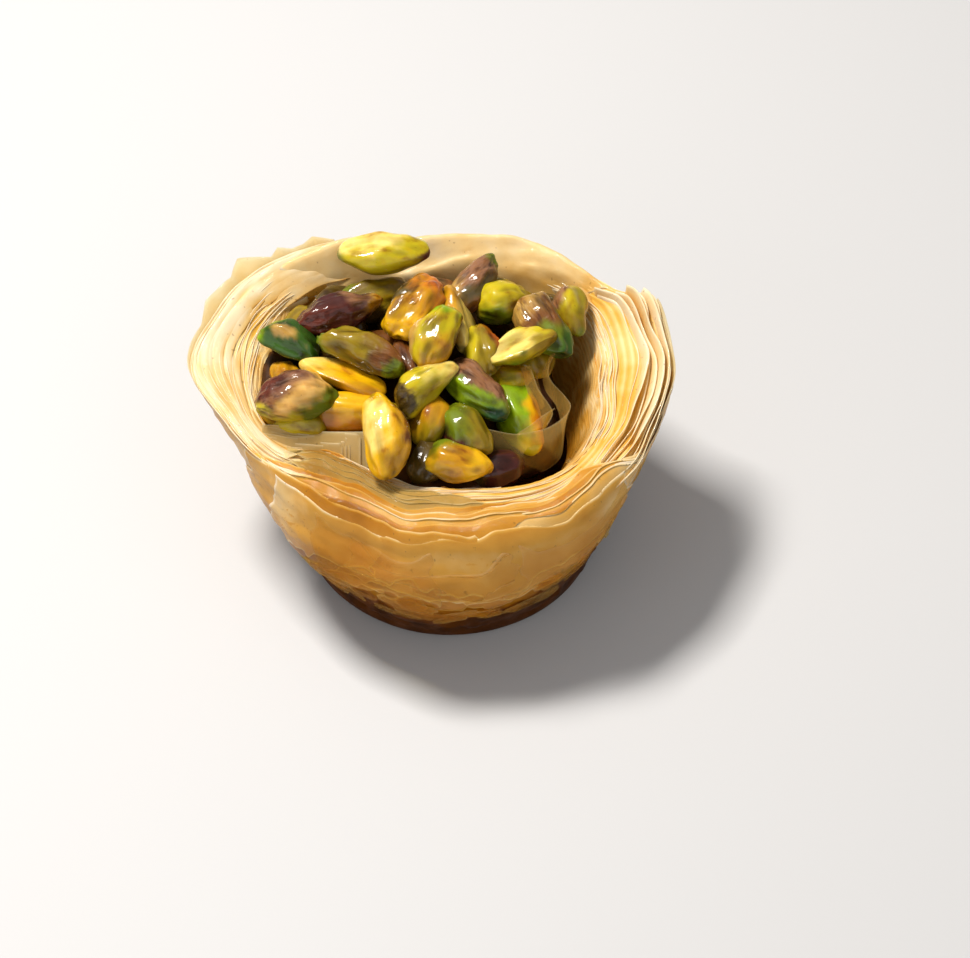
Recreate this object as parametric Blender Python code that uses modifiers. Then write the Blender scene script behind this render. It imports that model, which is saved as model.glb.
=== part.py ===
"""Filo basket: a cup of stacked filo sheets, heaped with pistachio kernels and soaked in syrup.

Metres, +Z up. The origin is the centre of the flat base. +Y is the back of the basket and -Y its
front, where the sheets lean inwards in low terraces. The cavity sits back and to the left of the
base, so the front wall is the thick one.

Three functions carry the form: outer_point and inner_point give the two faces of the pastry wall at
an angle and a height share, and wall_point blends them through the wall's thickness.
"""

import math

import bmesh
import bpy
from mathutils import Euler, Matrix, Vector

MM = 0.001

# Driving sizes of the pastry.
BASE_RADIUS = 28.5 * MM
BASE_ROUNDING = 1.6 * MM
FLOOR_HEIGHT = 11.0 * MM
FLOOR_SHARE = 0.66  # the cavity floor's radius as a share of the lip's
CAVITY_CENTRE = Vector((-5.0, 8.0, 0.0)) * MM
SEGMENTS = 96

# The outer face: angle in degrees, then in mm its reach at three heights and the height of its lip.
OUTER_FACE = (
    (0, 34.2, 37.5, 43.5, 40.5),
    (14, 34.5, 38.5, 45.8, 43.0),
    (27, 34.8, 39.5, 47.2, 46.5),
    (38, 34.5, 39.0, 43.0, 43.0),
    (58, 34.0, 38.0, 43.0, 41.0),
    (78, 34.0, 38.0, 44.0, 40.5),
    (100, 34.0, 38.5, 42.5, 41.0),
    (122, 34.2, 39.5, 46.0, 42.5),
    (138, 34.5, 41.5, 50.5, 41.5),
    (155, 34.5, 42.0, 51.5, 40.5),
    (170, 34.2, 41.8, 51.5, 38.5),
    (190, 34.0, 39.8, 43.5, 37.5),
    (205, 34.0, 39.0, 37.5, 36.5),
    (235, 34.2, 38.5, 34.0, 35.0),
    (265, 34.6, 38.3, 33.5, 34.0),
    (295, 34.2, 38.0, 35.5, 34.5),
    (322, 33.8, 37.5, 38.0, 36.5),
    (342, 33.8, 37.0, 40.5, 38.5),
)
REACH_HEIGHTS = (0.32, 0.66)  # where the first two reaches hold, as shares of the lip's height

# The inner lip about CAVITY_CENTRE: angle in degrees, then its reach and height in mm.
INNER_LIP = (
    (0, 35.0, 37.0),
    (36, 36.0, 38.0),
    (60, 32.0, 38.5),
    (90, 29.0, 38.5),
    (120, 31.0, 38.5),
    (150, 34.0, 38.0),
    (180, 34.5, 37.0),
    (205, 33.0, 36.5),
    (228, 25.5, 36.5),
    (245, 24.5, 35.5),
    (265, 26.0, 35.0),
    (285, 27.5, 35.0),
    (318, 34.5, 35.5),
    (340, 36.0, 36.0),
)

# The rim's relief: bundles of sheets with valleys between them.
BUNDLES = 8
VALLEY_DEPTH = 2.2 * MM
VALLEY_CHANGE = 0.9 * MM
CRAG_HEIGHT = 0.8 * MM  # how far a bundle's top edge rises and falls
BUNDLE_DRIFT = 0.22  # how far a bundle wanders sideways, as a share of its own thickness
WALL_RIPPLE = 0.45 * MM

# The heap of kernels.
CONTACT_GAP = 0.4 * MM
CORE_SEGMENTS = 40
CORE_EDGE = 0.84  # the height share of the inner wall that the bare core reaches
CORE_TOP = 37.5 * MM
CORE_LEAN = Vector((-0.08, 0.04, 0.0))  # the core's top rises to the left and the back
CORE_FALL = 0.10  # how steeply it falls from the middle to the wall
CURL_DROP = 2.4 * MM  # how far the core stays below the curl
CURL_BANK = 0.55  # how steeply the core rises beside the curl
KERNEL_AROUND, KERNEL_ALONG = 10, 7
KERNEL_TAPER = 0.22
KERNEL_BEND = 0.9 * MM
HALF_CUT = 0.10  # how far above its middle a split half is cut, as a share of its thickness

WHOLE, HALF = "whole", "half"
# Kernels that show: middle in mm, heading, nose-up pitch and roll in degrees, length, width and
# thickness in mm, and whether the kernel is whole or a split half.
HEAP_KERNELS = (
    ((-15.5, 27.0, 39.0), 24, 0, 20, (16.0, 8.5, 8.0), WHOLE),
    ((-22.0, 19.6, 43.0), 18, 4, 0, (18.0, 8.0, 7.6), WHOLE),
    ((-7.0, 18.6, 45.5), 58, 8, 0, (16.5, 10.2, 9.2), WHOLE),
    ((4.2, 28.0, 42.0), 46, 18, 0, (16.0, 8.0, 7.6), WHOLE),
    ((1.9, 18.0, 43.0), 102, 10, 60, (15.0, 8.6, 7.6), WHOLE),
    ((-2.8, 9.4, 46.0), 248, -12, 0, (14.0, 10.0, 9.4), WHOLE),
    ((-31.5, 13.6, 41.0), 149, 6, 0, (12.6, 8.2, 7.8), WHOLE),
    ((-17.2, 8.6, 43.5), 157, 4, 40, (18.4, 8.6, 8.0), WHOLE),
    ((-20.8, 3.2, 40.2), 158, 3, -30, (18.0, 8.4, 6.6), HALF),
    ((-29.6, -2.0, 41.4), 190, 4, 0, (16.2, 11.0, 9.4), WHOLE),
    ((-31.4, -1.4, 36.0), 155, 0, 0, (8.6, 7.4, 7.0), WHOLE),
    ((-29.0, -4.4, 35.8), 175, 0, 0, (11.0, 7.2, 6.8), WHOLE),
    ((-18.6, -2.0, 38.4), 2, 0, 0, (15.6, 9.2, 8.4), WHOLE),
    ((-11.6, -12.2, 42.0), -80, -16, 8, (18.2, 10.4, 8.0), HALF),
    ((-4.3, 0.0, 43.0), 43, 10, 0, (14.4, 7.8, 7.4), WHOLE),
    ((5.3, 1.4, 40.0), -48, -6, 0, (16.8, 9.0, 8.4), WHOLE),
    ((13.2, 2.0, 36.0), -70, -6, 0, (16.0, 9.2, 8.4), WHOLE),
    ((6.6, 10.8, 41.0), 98, 10, 0, (12.4, 7.6, 7.2), WHOLE),
    ((14.2, 10.4, 43.2), 212, -6, 15, (14.0, 9.0, 8.0), HALF),
    ((18.6, 17.2, 42.0), -62, -4, 20, (17.6, 9.0, 8.2), WHOLE),
    ((11.0, 24.6, 40.6), 25, 0, 0, (11.6, 9.2, 8.8), WHOLE),
    ((24.0, 21.8, 40.4), -80, 0, 0, (12.0, 8.2, 7.8), WHOLE),
    ((-3.4, -4.6, 37.6), 70, 20, 0, (11.0, 8.2, 7.8), WHOLE),
    ((3.4, -7.6, 37.4), -52, -10, 0, (12.8, 8.6, 8.0), WHOLE),
    ((1.2, -14.4, 36.4), -14, 0, 0, (14.4, 8.2, 7.4), WHOLE),
    ((-7.4, 8.2, 40.2), -74, 0, 0, (14.0, 7.8, 7.4), WHOLE),
    ((14.6, 6.6, 37.0), 10, 0, 0, (12.0, 7.6, 7.2), WHOLE),
    ((9.4, -12.2, 32.0), 20, 0, 0, (11.0, 7.6, 7.0), WHOLE),
    ((-21.5, 17.5, 37.0), 60, 0, 0, (15.0, 8.4, 8.0), WHOLE),
    ((-11.5, -5.4, 36.4), 100, 0, 0, (13.0, 8.6, 8.0), WHOLE),
    ((-7.0, 21.0, 38.5), 10, 0, 0, (15.0, 8.6, 8.0), WHOLE),
    ((15.5, 14.0, 37.0), 120, 0, 0, (14.0, 8.6, 8.0), WHOLE),
    ((-3.0, 30.5, 37.0), 5, 0, 0, (13.0, 7.6, 7.4), WHOLE),
    ((11.0, 30.0, 36.6), -20, 0, 0, (13.0, 7.6, 7.4), WHOLE),
    ((20.0, 25.6, 36.6), -45, 0, 0, (12.0, 7.6, 7.4), WHOLE),
)
# The one kernel that lies up on the rim, clear of the heap.
RIM_KERNEL = ((-13.2, 33.0, 46.0), 4, 0, 0, (19.0, 8.6, 8.2), WHOLE)

# The torn strip of filo that curls between the kernels and the right-hand wall.
CURL_THICKNESS = 0.5 * MM
CURL_STEPS = 28
# Its route: middle of the strip in mm, and half its height there.
CURL_ROUTE = (
    ((7.4, -6.6, 32.4), 3.4),
    ((14.0, -7.4, 32.2), 4.0),
    ((20.0, -7.2, 32.0), 4.4),
    ((23.6, -3.6, 32.6), 4.0),
    ((23.0, 2.4, 34.0), 3.0),
    ((21.8, 7.6, 35.6), 2.2),
)

FILO_COLOUR = (0.78, 0.52, 0.21, 1.0)
KERNEL_COLOUR = (0.42, 0.43, 0.07, 1.0)
RIM_KERNEL_COLOUR = (0.50, 0.52, 0.10, 1.0)
CURL_COLOUR = (0.70, 0.60, 0.36, 1.0)


def clear_scene():
    for obj in list(bpy.data.objects):
        bpy.data.objects.remove(obj, do_unlink=True)


def cubic(a, b, c, d, share):
    """Catmull-Rom between b and c."""
    slope_b, slope_c = (c - a) / 2, (d - b) / 2
    rise = c - b
    return b + share * (slope_b + share * (3 * rise - 2 * slope_b - slope_c
                                           + share * (slope_b + slope_c - 2 * rise)))


def at_angle(rows, angle):
    """The row's values at an angle in radians, in metres, smooth all the way round."""
    degrees = math.degrees(angle) % 360
    count = len(rows)
    first = max((i for i in range(count) if rows[i][0] <= degrees), default=count - 1)
    start, end = rows[first][0], rows[(first + 1) % count][0]
    span = (end - start) % 360
    share = ((degrees - start) % 360) / span
    near = [rows[(first + step) % count] for step in (-1, 0, 1, 2)]
    return [cubic(*(row[k] for row in near), share) * MM for k in range(1, len(rows[0]))]


def along(knots, place):
    """A smooth value at place, from (place, value) knots in rising order."""
    last = len(knots) - 1
    i = max(0, min(last - 1, sum(k[0] <= place for k in knots) - 1))
    share = (place - knots[i][0]) / (knots[i + 1][0] - knots[i][0])
    near = [knots[max(0, min(last, i + step))][1] for step in (-1, 0, 1, 2)]
    return cubic(*near, share)


def outer_point(angle, up):
    """The pastry's outer face: up is 0 at the base and 1 at the lip."""
    low, belly, reach, lip = at_angle(OUTER_FACE, angle)
    knots = ((0.0, BASE_RADIUS + BASE_ROUNDING), (REACH_HEIGHTS[0], low),
             (REACH_HEIGHTS[1], belly), (1.0, reach))
    ripple = WALL_RIPPLE * up * (math.sin(7 * angle + 1.0) + 0.6 * math.sin(13 * angle))
    radius = along(knots, up) + ripple
    return Vector((radius * math.cos(angle), radius * math.sin(angle), lip * up))


def inner_point(angle, up):
    """The cavity's face: up is 0 at its floor and 1 at the lip."""
    reach, lip = at_angle(INNER_LIP, angle)
    radius = reach * (FLOOR_SHARE + (1 - FLOOR_SHARE) * up ** 0.6)
    height = FLOOR_HEIGHT + (lip - FLOOR_HEIGHT) * up
    place = Vector((radius * math.cos(angle), radius * math.sin(angle), height))
    return place + CAVITY_CENTRE * (0.4 + 0.6 * up)


def wall_point(angle, through, up):
    """A point in the wall: through is 0 on the cavity's face and 1 on the outer face."""
    return inner_point(angle, up).lerp(outer_point(angle, up), through)


def bundle_share(bundle, angle):
    """How far through the wall a place in the bundles is, counted from the outside."""
    drift = BUNDLE_DRIFT * (math.sin(3 * angle + 0.9 * bundle) + 0.5 * math.sin(8 * angle - bundle))
    inside = min(1.0, bundle, BUNDLES - bundle)  # the two faces themselves don't wander
    return 1 - (bundle + drift * inside) / BUNDLES


def ring(point, segments):
    return [point(math.tau * i / segments) for i in range(segments)]


def loft(name, rings, first_centre=None, last_centre=None):
    """A closed mesh through rings of equal count, each end a fan to its centre or one flat face."""
    mesh = bmesh.new()
    loops = [[mesh.verts.new(point) for point in points] for points in rings]
    count = len(loops[0])
    for lower, upper in zip(loops, loops[1:]):
        for i in range(count):
            j = (i + 1) % count
            mesh.faces.new((lower[i], lower[j], upper[j], upper[i]))
    for loop, centre in ((loops[0][::-1], first_centre), (loops[-1], last_centre)):
        if centre is None:
            mesh.faces.new(loop)
            continue
        middle = mesh.verts.new(centre)
        for i in range(count):
            mesh.faces.new((loop[i], loop[(i + 1) % count], middle))
    return object_from(name, mesh)


def object_from(name, mesh):
    """An object in the scene from a bmesh, with its faces pointing out."""
    mesh.normal_update()
    bmesh.ops.recalc_face_normals(mesh, faces=mesh.faces[:])
    data = bpy.data.meshes.new(name)
    mesh.to_mesh(data)
    mesh.free()
    made = bpy.data.objects.new(name, data)
    bpy.context.scene.collection.objects.link(made)
    return made


def material(name, colour, roughness):
    made = bpy.data.materials.new(name)
    made.use_nodes = True
    shader = made.node_tree.nodes["Principled BSDF"]
    shader.inputs["Base Color"].default_value = colour
    shader.inputs["Roughness"].default_value = roughness
    shader.inputs["Metallic"].default_value = 0.0
    return made


def finish(obj, look, sharp_degrees=50):
    obj.data.materials.clear()
    obj.data.materials.append(look)
    obj.data.shade_smooth()
    obj.data.set_sharp_from_angle(angle=math.radians(sharp_degrees))
    return obj


def rim_rings():
    """Rings over the rim from the outer lip to the inner lip: a crest and a valley per bundle."""
    rings = []
    for bundle in range(BUNDLES):
        places = [(bundle + 0.45, 0.0)]
        if bundle == 0:
            places.insert(0, (0.12, 0.0))
        if bundle < BUNDLES - 1:
            places.append((bundle + 0.8, 1.0))
            places.append((bundle + 1.05, 0.35))
        for place, sunk in places:
            def point(angle, place=place, sunk=sunk, bundle=bundle):
                depth = VALLEY_DEPTH + VALLEY_CHANGE * math.sin(5 * angle + 1.7 * bundle)
                crag = CRAG_HEIGHT * math.sin(11 * angle + 2.3 * bundle) * math.sin(4 * angle - bundle)
                top = wall_point(angle, bundle_share(place, angle), 1.0)
                return top + Vector((0, 0, crag - sunk * depth))
            rings.append(ring(point, SEGMENTS))
    return rings


def basket(look):
    """The pastry, as one loft: flat base, outer face, rim, cavity wall and floor."""
    base = ring(lambda a: Vector((BASE_RADIUS * math.cos(a), BASE_RADIUS * math.sin(a), 0)), SEGMENTS)
    outer = [ring(lambda a, up=up: outer_point(a, up), SEGMENTS)
             for up in (0.04, 0.14, 0.26, 0.40, 0.54, 0.68, 0.81, 0.92, 1.0)]
    inner = [ring(lambda a, up=up: inner_point(a, up), SEGMENTS)
             for up in (1.0, 0.85, 0.66, 0.46, 0.25, 0.08, 0.0)]
    floor = CAVITY_CENTRE * 0.4 + Vector((0, 0, FLOOR_HEIGHT))
    made = loft("filo_basket", [base, *outer, *rim_rings(), *inner], last_centre=floor)
    return finish(made, look)


def kernel(name, place, heading, pitch, roll, size, cut):
    """A pistachio kernel: a tapered, slightly bent ellipsoid, or a split half of one."""
    length, width, thickness = (value * MM for value in size)
    mesh = bmesh.new()
    bmesh.ops.create_uvsphere(mesh, u_segments=KERNEL_AROUND, v_segments=KERNEL_ALONG, radius=1.0)
    for vert in mesh.verts:
        across, thick, lengthwise = vert.co
        girth = 1 - KERNEL_TAPER * lengthwise
        if cut == HALF:
            thick = min(thick, HALF_CUT)
        vert.co = Vector((lengthwise * length / 2, across * width / 2 * girth,
                          thick * thickness / 2 * girth + KERNEL_BEND * (0.4 - lengthwise ** 2)))
    turn = Euler((math.radians(roll), math.radians(-pitch), math.radians(heading)), "XYZ")
    mesh.transform(Matrix.Translation(Vector(place) * MM) @ turn.to_matrix().to_4x4())
    return object_from(name, mesh)


def core_top(x, y):
    """The height of the bare core's top: a low dome with a hollow under the curl."""
    away = Vector((x, y, 0.0)) - CAVITY_CENTRE
    dome = CORE_TOP + CORE_LEAN.dot(away) - CORE_FALL * away.length
    under_curl = min((place[2] - half) * MM - CURL_DROP
                     + CURL_BANK * math.hypot(x - place[0] * MM, y - place[1] * MM)
                     for place, half in CURL_ROUTE)
    return min(dome, under_curl)


def core():
    """The bare core of the heap: it fills the cavity, clear of the wall, up to the kernels."""
    def shrunk(angle, up):
        point = inner_point(angle, up)
        axis = CAVITY_CENTRE * (0.4 + 0.6 * up)
        inwards = Vector((axis.x - point.x, axis.y - point.y, 0)).normalized()
        return point + inwards * CONTACT_GAP * 2 + Vector((0, 0, CONTACT_GAP))

    def edge_share(angle):
        edge = shrunk(angle, CORE_EDGE)
        lip = at_angle(INNER_LIP, angle)[1]
        return min(CORE_EDGE, (core_top(edge.x, edge.y) - FLOOR_HEIGHT) / (lip - FLOOR_HEIGHT))

    def capped(angle, share):
        edge = shrunk(angle, edge_share(angle))
        place = CAVITY_CENTRE.lerp(Vector((edge.x, edge.y, 0)), share)
        return Vector((place.x, place.y, core_top(place.x, place.y)))

    sides = [ring(lambda a, part=part: shrunk(a, part * edge_share(a)), CORE_SEGMENTS)
             for part in (0.0, 0.35, 0.7, 1.0)]
    top = [ring(lambda a, share=share: capped(a, share), CORE_SEGMENTS)
           for share in (0.93, 0.84, 0.74, 0.62, 0.48, 0.3)]
    centre = Vector((CAVITY_CENTRE.x, CAVITY_CENTRE.y, core_top(CAVITY_CENTRE.x, CAVITY_CENTRE.y)))
    floor = CAVITY_CENTRE * 0.4 + Vector((0, 0, FLOOR_HEIGHT + CONTACT_GAP))
    return loft("pistachio_heap", [*sides, *top], first_centre=floor, last_centre=centre)


def heap(look):
    """The core with every kernel fused on by one Boolean union."""
    made = core()
    loose = bpy.data.collections.new("heap_kernels")
    bpy.context.scene.collection.children.link(loose)
    for index, row in enumerate(HEAP_KERNELS):
        piece = kernel(f"kernel_{index:02d}", *row)
        bpy.context.scene.collection.objects.unlink(piece)
        loose.objects.link(piece)
    union = made.modifiers.new("fuse_kernels", "BOOLEAN")
    union.operation = "UNION"
    union.operand_type = "COLLECTION"
    union.collection = loose
    union.solver = "EXACT"
    bpy.context.view_layer.update()
    fused = bpy.data.meshes.new_from_object(made.evaluated_get(bpy.context.evaluated_depsgraph_get()))
    made.modifiers.clear()
    made.data = fused
    for piece in list(loose.objects):
        bpy.data.objects.remove(piece, do_unlink=True)
    bpy.data.collections.remove(loose)
    return finish(made, look, 40)


def curl(look):
    """The torn strip, as an open band of quads given its thickness by Solidify."""
    last = len(CURL_ROUTE) - 1
    places = [[(i / last, row[0][axis]) for i, row in enumerate(CURL_ROUTE)] for axis in range(3)]
    halves = [(i / last, row[1]) for i, row in enumerate(CURL_ROUTE)]
    mesh = bmesh.new()
    columns = []
    for step in range(CURL_STEPS + 1):
        share = step / CURL_STEPS
        middle = Vector([along(knots, share) for knots in places]) * MM
        half = along(halves, share) * MM
        wave = 0.35 * MM * math.sin(9 * share)
        lean = Vector((wave, 0.25 * half, half))
        columns.append([mesh.verts.new(middle + lean * level) for level in (-1, 0, 1)])
    for left, right in zip(columns, columns[1:]):
        for low in (0, 1):
            mesh.faces.new((left[low], right[low], right[low + 1], left[low + 1]))
    bmesh.ops.triangulate(mesh, faces=mesh.faces[:])
    made = object_from("filo_curl", mesh)
    skin = made.modifiers.new("thickness", "SOLIDIFY")
    skin.thickness = CURL_THICKNESS
    skin.offset = 0
    return finish(made, look, 60)


def main():
    clear_scene()
    basket(material("filo", FILO_COLOUR, 0.35))
    heap(material("pistachio", KERNEL_COLOUR, 0.25))
    finish(kernel("rim_pistachio", *RIM_KERNEL), material("rim_pistachio", RIM_KERNEL_COLOUR, 0.25))
    curl(material("filo_curl", CURL_COLOUR, 0.3))
    group = bpy.data.collections.new("filo_basket")
    bpy.context.scene.collection.children.link(group)
    for obj in list(bpy.context.scene.collection.objects):
        bpy.context.scene.collection.objects.unlink(obj)
        group.objects.link(obj)


main()
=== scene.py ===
"""The looks of the filo basket: torn filo sheets soaked in syrup, heaped with glazed pistachio kernels.

Metres, +Z up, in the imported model's frame: the origin is the centre of the flat base and -Y is the
front. The pastry wall is described by an angle round the base, a share through the wall (0 on the
cavity's face, 1 on the outer face) and a share up it (0 at the base, 1 at the lip). Every sheet of
filo is a thin closed solid laid out in those three measures. The tables hold degrees and mm.
"""

import itertools
import math

import bpy
import numpy as np
from mathutils import Euler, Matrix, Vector


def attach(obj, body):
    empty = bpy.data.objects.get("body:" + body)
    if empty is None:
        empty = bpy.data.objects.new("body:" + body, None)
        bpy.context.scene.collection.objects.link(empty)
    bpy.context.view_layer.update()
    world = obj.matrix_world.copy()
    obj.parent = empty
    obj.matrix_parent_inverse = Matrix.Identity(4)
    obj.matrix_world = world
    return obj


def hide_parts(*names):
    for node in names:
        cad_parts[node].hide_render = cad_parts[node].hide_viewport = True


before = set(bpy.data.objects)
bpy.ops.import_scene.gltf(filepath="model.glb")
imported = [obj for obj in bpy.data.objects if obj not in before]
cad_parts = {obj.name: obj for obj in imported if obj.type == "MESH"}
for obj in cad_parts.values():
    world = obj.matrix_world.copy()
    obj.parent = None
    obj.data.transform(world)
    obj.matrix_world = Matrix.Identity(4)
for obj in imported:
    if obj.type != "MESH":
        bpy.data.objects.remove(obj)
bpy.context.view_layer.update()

MM = 0.001

# ---------------------------------------------------------------- the form of the pastry wall

BASE_RADIUS = 30.1 * MM
FLOOR_HEIGHT = 11.0 * MM
FLOOR_SHARE = 0.66
CAVITY_CENTRE = np.array((-5.0, 8.0, 0.0)) * MM
WALL_RIPPLE = 0.45 * MM
LIP_HEIGHT = 38 * MM
REACH_HEIGHTS = np.array((0.0, 0.32, 0.66, 1.0))

# The outer face: angle, its reach at three heights and the height of its lip.
OUTER_FACE = (
    (0, 34.2, 37.5, 43.5, 40.5),
    (14, 34.5, 38.5, 45.8, 43.0),
    (27, 34.8, 39.5, 47.2, 46.5),
    (38, 34.5, 39.0, 43.0, 43.0),
    (58, 34.0, 38.0, 43.0, 41.0),
    (78, 34.0, 38.0, 44.0, 40.5),
    (100, 34.0, 38.5, 42.5, 41.0),
    (122, 34.2, 39.5, 46.0, 42.5),
    (138, 34.5, 41.5, 50.5, 41.5),
    (155, 34.5, 42.0, 51.5, 40.5),
    (170, 34.2, 41.8, 51.5, 38.5),
    (190, 34.0, 39.8, 43.5, 37.5),
    (205, 33.6, 37.8, 37.5, 36.5),
    (235, 34.0, 37.7, 34.0, 35.0),
    (265, 34.6, 38.3, 33.5, 34.0),
    (295, 34.2, 38.0, 35.5, 34.5),
    (322, 33.8, 37.5, 38.0, 36.5),
    (342, 33.8, 37.0, 40.5, 38.5),
)
# The inner lip about CAVITY_CENTRE: angle, reach and height.
INNER_LIP = (
    (0, 35.0, 37.0),
    (36, 36.0, 38.0),
    (60, 32.0, 38.5),
    (90, 29.0, 38.5),
    (120, 31.0, 38.5),
    (150, 34.0, 38.0),
    (180, 34.5, 37.0),
    (205, 33.0, 36.5),
    (228, 25.5, 36.5),
    (245, 24.5, 35.5),
    (265, 26.0, 35.0),
    (285, 27.5, 35.0),
    (318, 34.5, 35.5),
    (340, 36.0, 36.0),
)
# How the rim lies by angle: how far it domes up between its lips, how far its inner edge sinks, how
# far the sheets stand out of the fill between them, how much their edges differ in height and how
# far they wave sideways; then how strongly they gather into bundles, 0 to 1.
DOME, SINK, DEPTH, UNEVEN, WAVE, GATHER = range(6)
RIM_FORM = (
    (0, 0.3, 0.8, 0.3, 0.6, 1.1, 0.4),
    (30, 0.3, 0.8, 0.3, 0.6, 1.1, 0.3),
    (50, 1.0, 0.5, 0.1, 0.4, 0.6, 0.2),
    (75, 1.6, 0.5, -0.2, 0.3, 0.5, 0.1),
    (105, 1.6, 0.5, -0.2, 0.3, 0.5, 0.1),
    (132, 1.2, 0.5, 0.0, 0.5, 0.6, 0.2),
    (170, 0.8, 0.6, 0.0, 0.5, 0.6, 0.2),
    (195, 0.2, 0.6, 0.0, 0.4, 0.3, 0.2),
    (218, 0.2, 2.8, 0.1, 0.4, 0.3, 0.3),
    (240, 0.3, 2.4, 0.1, 0.5, 0.4, 0.3),
    (270, 0.6, 1.0, 0.1, 0.5, 0.5, 0.3),
    (300, 0.6, 0.8, 0.1, 0.5, 0.5, 0.3),
    (328, 0.2, 0.6, 0.2, 0.4, 0.4, 0.3),
)
# Where the foot of the basket turns to dark caramel: angle and height.
CARAMEL_LINE = ((0, 20), (40, 16), (90, 14), (150, 14), (198, 14), (228, 19), (256, 21.5), (272, 18.5),
                (300, 20.5), (316, 24), (340, 22))


def cubic(a, b, c, d, share):
    """Catmull-Rom between b and c."""
    slope_b, slope_c = (c - a) / 2, (d - b) / 2
    rise = c - b
    return b + share * (slope_b + share * (3 * rise - 2 * slope_b - slope_c
                                           + share * (slope_b + slope_c - 2 * rise)))


def periodic(rows, angle):
    """The table's columns at angles in radians, smooth all the way round."""
    table = np.array(rows, float)
    degrees = np.degrees(angle) % 360
    first = np.searchsorted(table[:, 0], degrees, side="right") - 1
    near = [(first + step) % len(table) for step in (-1, 0, 1, 2)]
    start, end = table[near[1], 0], table[near[2], 0]
    share = ((degrees - start) % 360) / ((end - start) % 360)
    return np.moveaxis(cubic(*(table[i, 1:] for i in near), share[..., None]), -1, 0)


def caramel_line(angle):
    return periodic(CARAMEL_LINE, angle)[0]


def profile(up, values):
    """A smooth run through the values at REACH_HEIGHTS, carried on straight past the last."""
    last = len(REACH_HEIGHTS) - 1
    i = np.clip(np.searchsorted(REACH_HEIGHTS, up, side="right") - 1, 0, last - 1)
    share = (up - REACH_HEIGHTS[i]) / (REACH_HEIGHTS[i + 1] - REACH_HEIGHTS[i])
    knots = np.stack([np.broadcast_to(v, up.shape) for v in (values[0], *values, values[-1])])
    near = [np.take_along_axis(knots, (i + step)[None], 0)[0] for step in range(4)]
    slope = (values[-1] - values[-2]) / (1 - REACH_HEIGHTS[-2])
    return cubic(*near, np.clip(share, 0, 1)) + np.maximum(up - 1, 0) * slope


def polar(angle, radius, height):
    """Points by their angle round the z axis."""
    return np.stack(np.broadcast_arrays(radius * np.cos(angle), radius * np.sin(angle), height), -1)


def outward(points):
    """Level unit vectors, from the z axis towards the points."""
    level = points * (1, 1, 0)
    return level / np.linalg.norm(level, axis=-1, keepdims=True)


def outer_point(angle, up):
    low, belly, reach, lip = periodic(OUTER_FACE, angle) * MM
    ripple = WALL_RIPPLE * up * (np.sin(7 * angle + 1.0) + 0.6 * np.sin(13 * angle))
    radius = profile(up, (np.full_like(low, BASE_RADIUS), low, belly, reach)) + ripple
    return polar(angle, radius, lip * up)


def inner_point(angle, up):
    reach, lip = periodic(INNER_LIP, angle) * MM
    radius = reach * (FLOOR_SHARE + (1 - FLOOR_SHARE) * np.maximum(up, 0) ** 0.6)
    place = polar(angle, radius, FLOOR_HEIGHT + (lip - FLOOR_HEIGHT) * up)
    return place + CAVITY_CENTRE * (0.4 + 0.6 * up)[..., None]


def wall_point(angle, through, up):
    angle, through, up = np.broadcast_arrays(angle, through, up)
    inner, outer = inner_point(angle, up), outer_point(angle, up)
    return inner + (outer - inner) * through[..., None]


def wall_thickness(angle):
    return np.linalg.norm(wall_point(angle, 1.0, 1.0) - wall_point(angle, 0.0, 1.0), axis=-1)


# ---------------------------------------------------------------- noise and shares

NOISE_RING = 40 * MM


def noise(points, size, seed):
    """Smooth noise from -1 to 1 at points (..., 3), with features about size apart."""
    scaled = points / size + seed * 7.317
    cell = np.floor(scaled)
    part = scaled - cell
    part = part * part * (3 - 2 * part)
    cell = cell.astype(np.int64)
    total = 0.0
    for corner in itertools.product((0, 1), repeat=3):
        x, y, z = np.moveaxis(cell + corner, -1, 0)
        code = (x * 73856093) ^ (y * 19349663) ^ (z * 83492791)
        code = ((code ^ (code >> 13)) * 1274126177) & 0xFFFFFFFF
        value = ((code ^ (code >> 16)) & 0xFFFF) / 32767.5 - 1
        total = total + value * np.prod(np.where(corner, part, 1 - part), -1)
    return total


def rough(points, size, octaves, seed):
    """Noise with finer and weaker layers on it."""
    return sum(noise(points, size / 2 ** k, seed + k) / 2 ** k for k in range(octaves))


def round_the_cup(angle, depth):
    """Where noise is read for an angle, so that it joins up all the way round."""
    return polar(angle, NOISE_RING, depth)


def smooth(low, high, value):
    """0 at low and 1 at high, eased at both."""
    share = np.clip((value - low) / (high - low), 0, 1)
    return share * share * (3 - 2 * share)


def hump(share):
    return np.sin(math.pi * np.clip(share, 0, 1))


def inside_ends(share, width):
    """0 at both ends of the run from 0 to 1, and 1 further in than the width."""
    return smooth(0, width, share) * smooth(1, 1 - width, share)


def between(angle, low, full, fade, high):
    """1 from full to fade degrees, and 0 below low and above high; the angle is in radians."""
    middle = (full + fade) / 2
    degrees = (np.degrees(angle) - middle + 180) % 360 - 180 + middle
    return smooth(low, full, degrees) * smooth(high, fade, degrees)


def course(angle):
    """A sheet's angles as shares, 0 at its start and 1 at its end."""
    return (angle - angle[0]) / (angle[-1] - angle[0])


# ---------------------------------------------------------------- meshes


def grid_faces(index):
    """A quad for each cell of a grid of vertex numbers."""
    corners = (index[:-1, :-1], index[1:, :-1], index[1:, 1:], index[:-1, 1:])
    return np.stack(corners, -1).reshape(-1, 4)


def closed_index(n, m):
    """The vertex numbers of a grid whose last row joins its first."""
    index = np.arange(n * m).reshape(n, m)
    return np.vstack((index, index[:1]))


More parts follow.
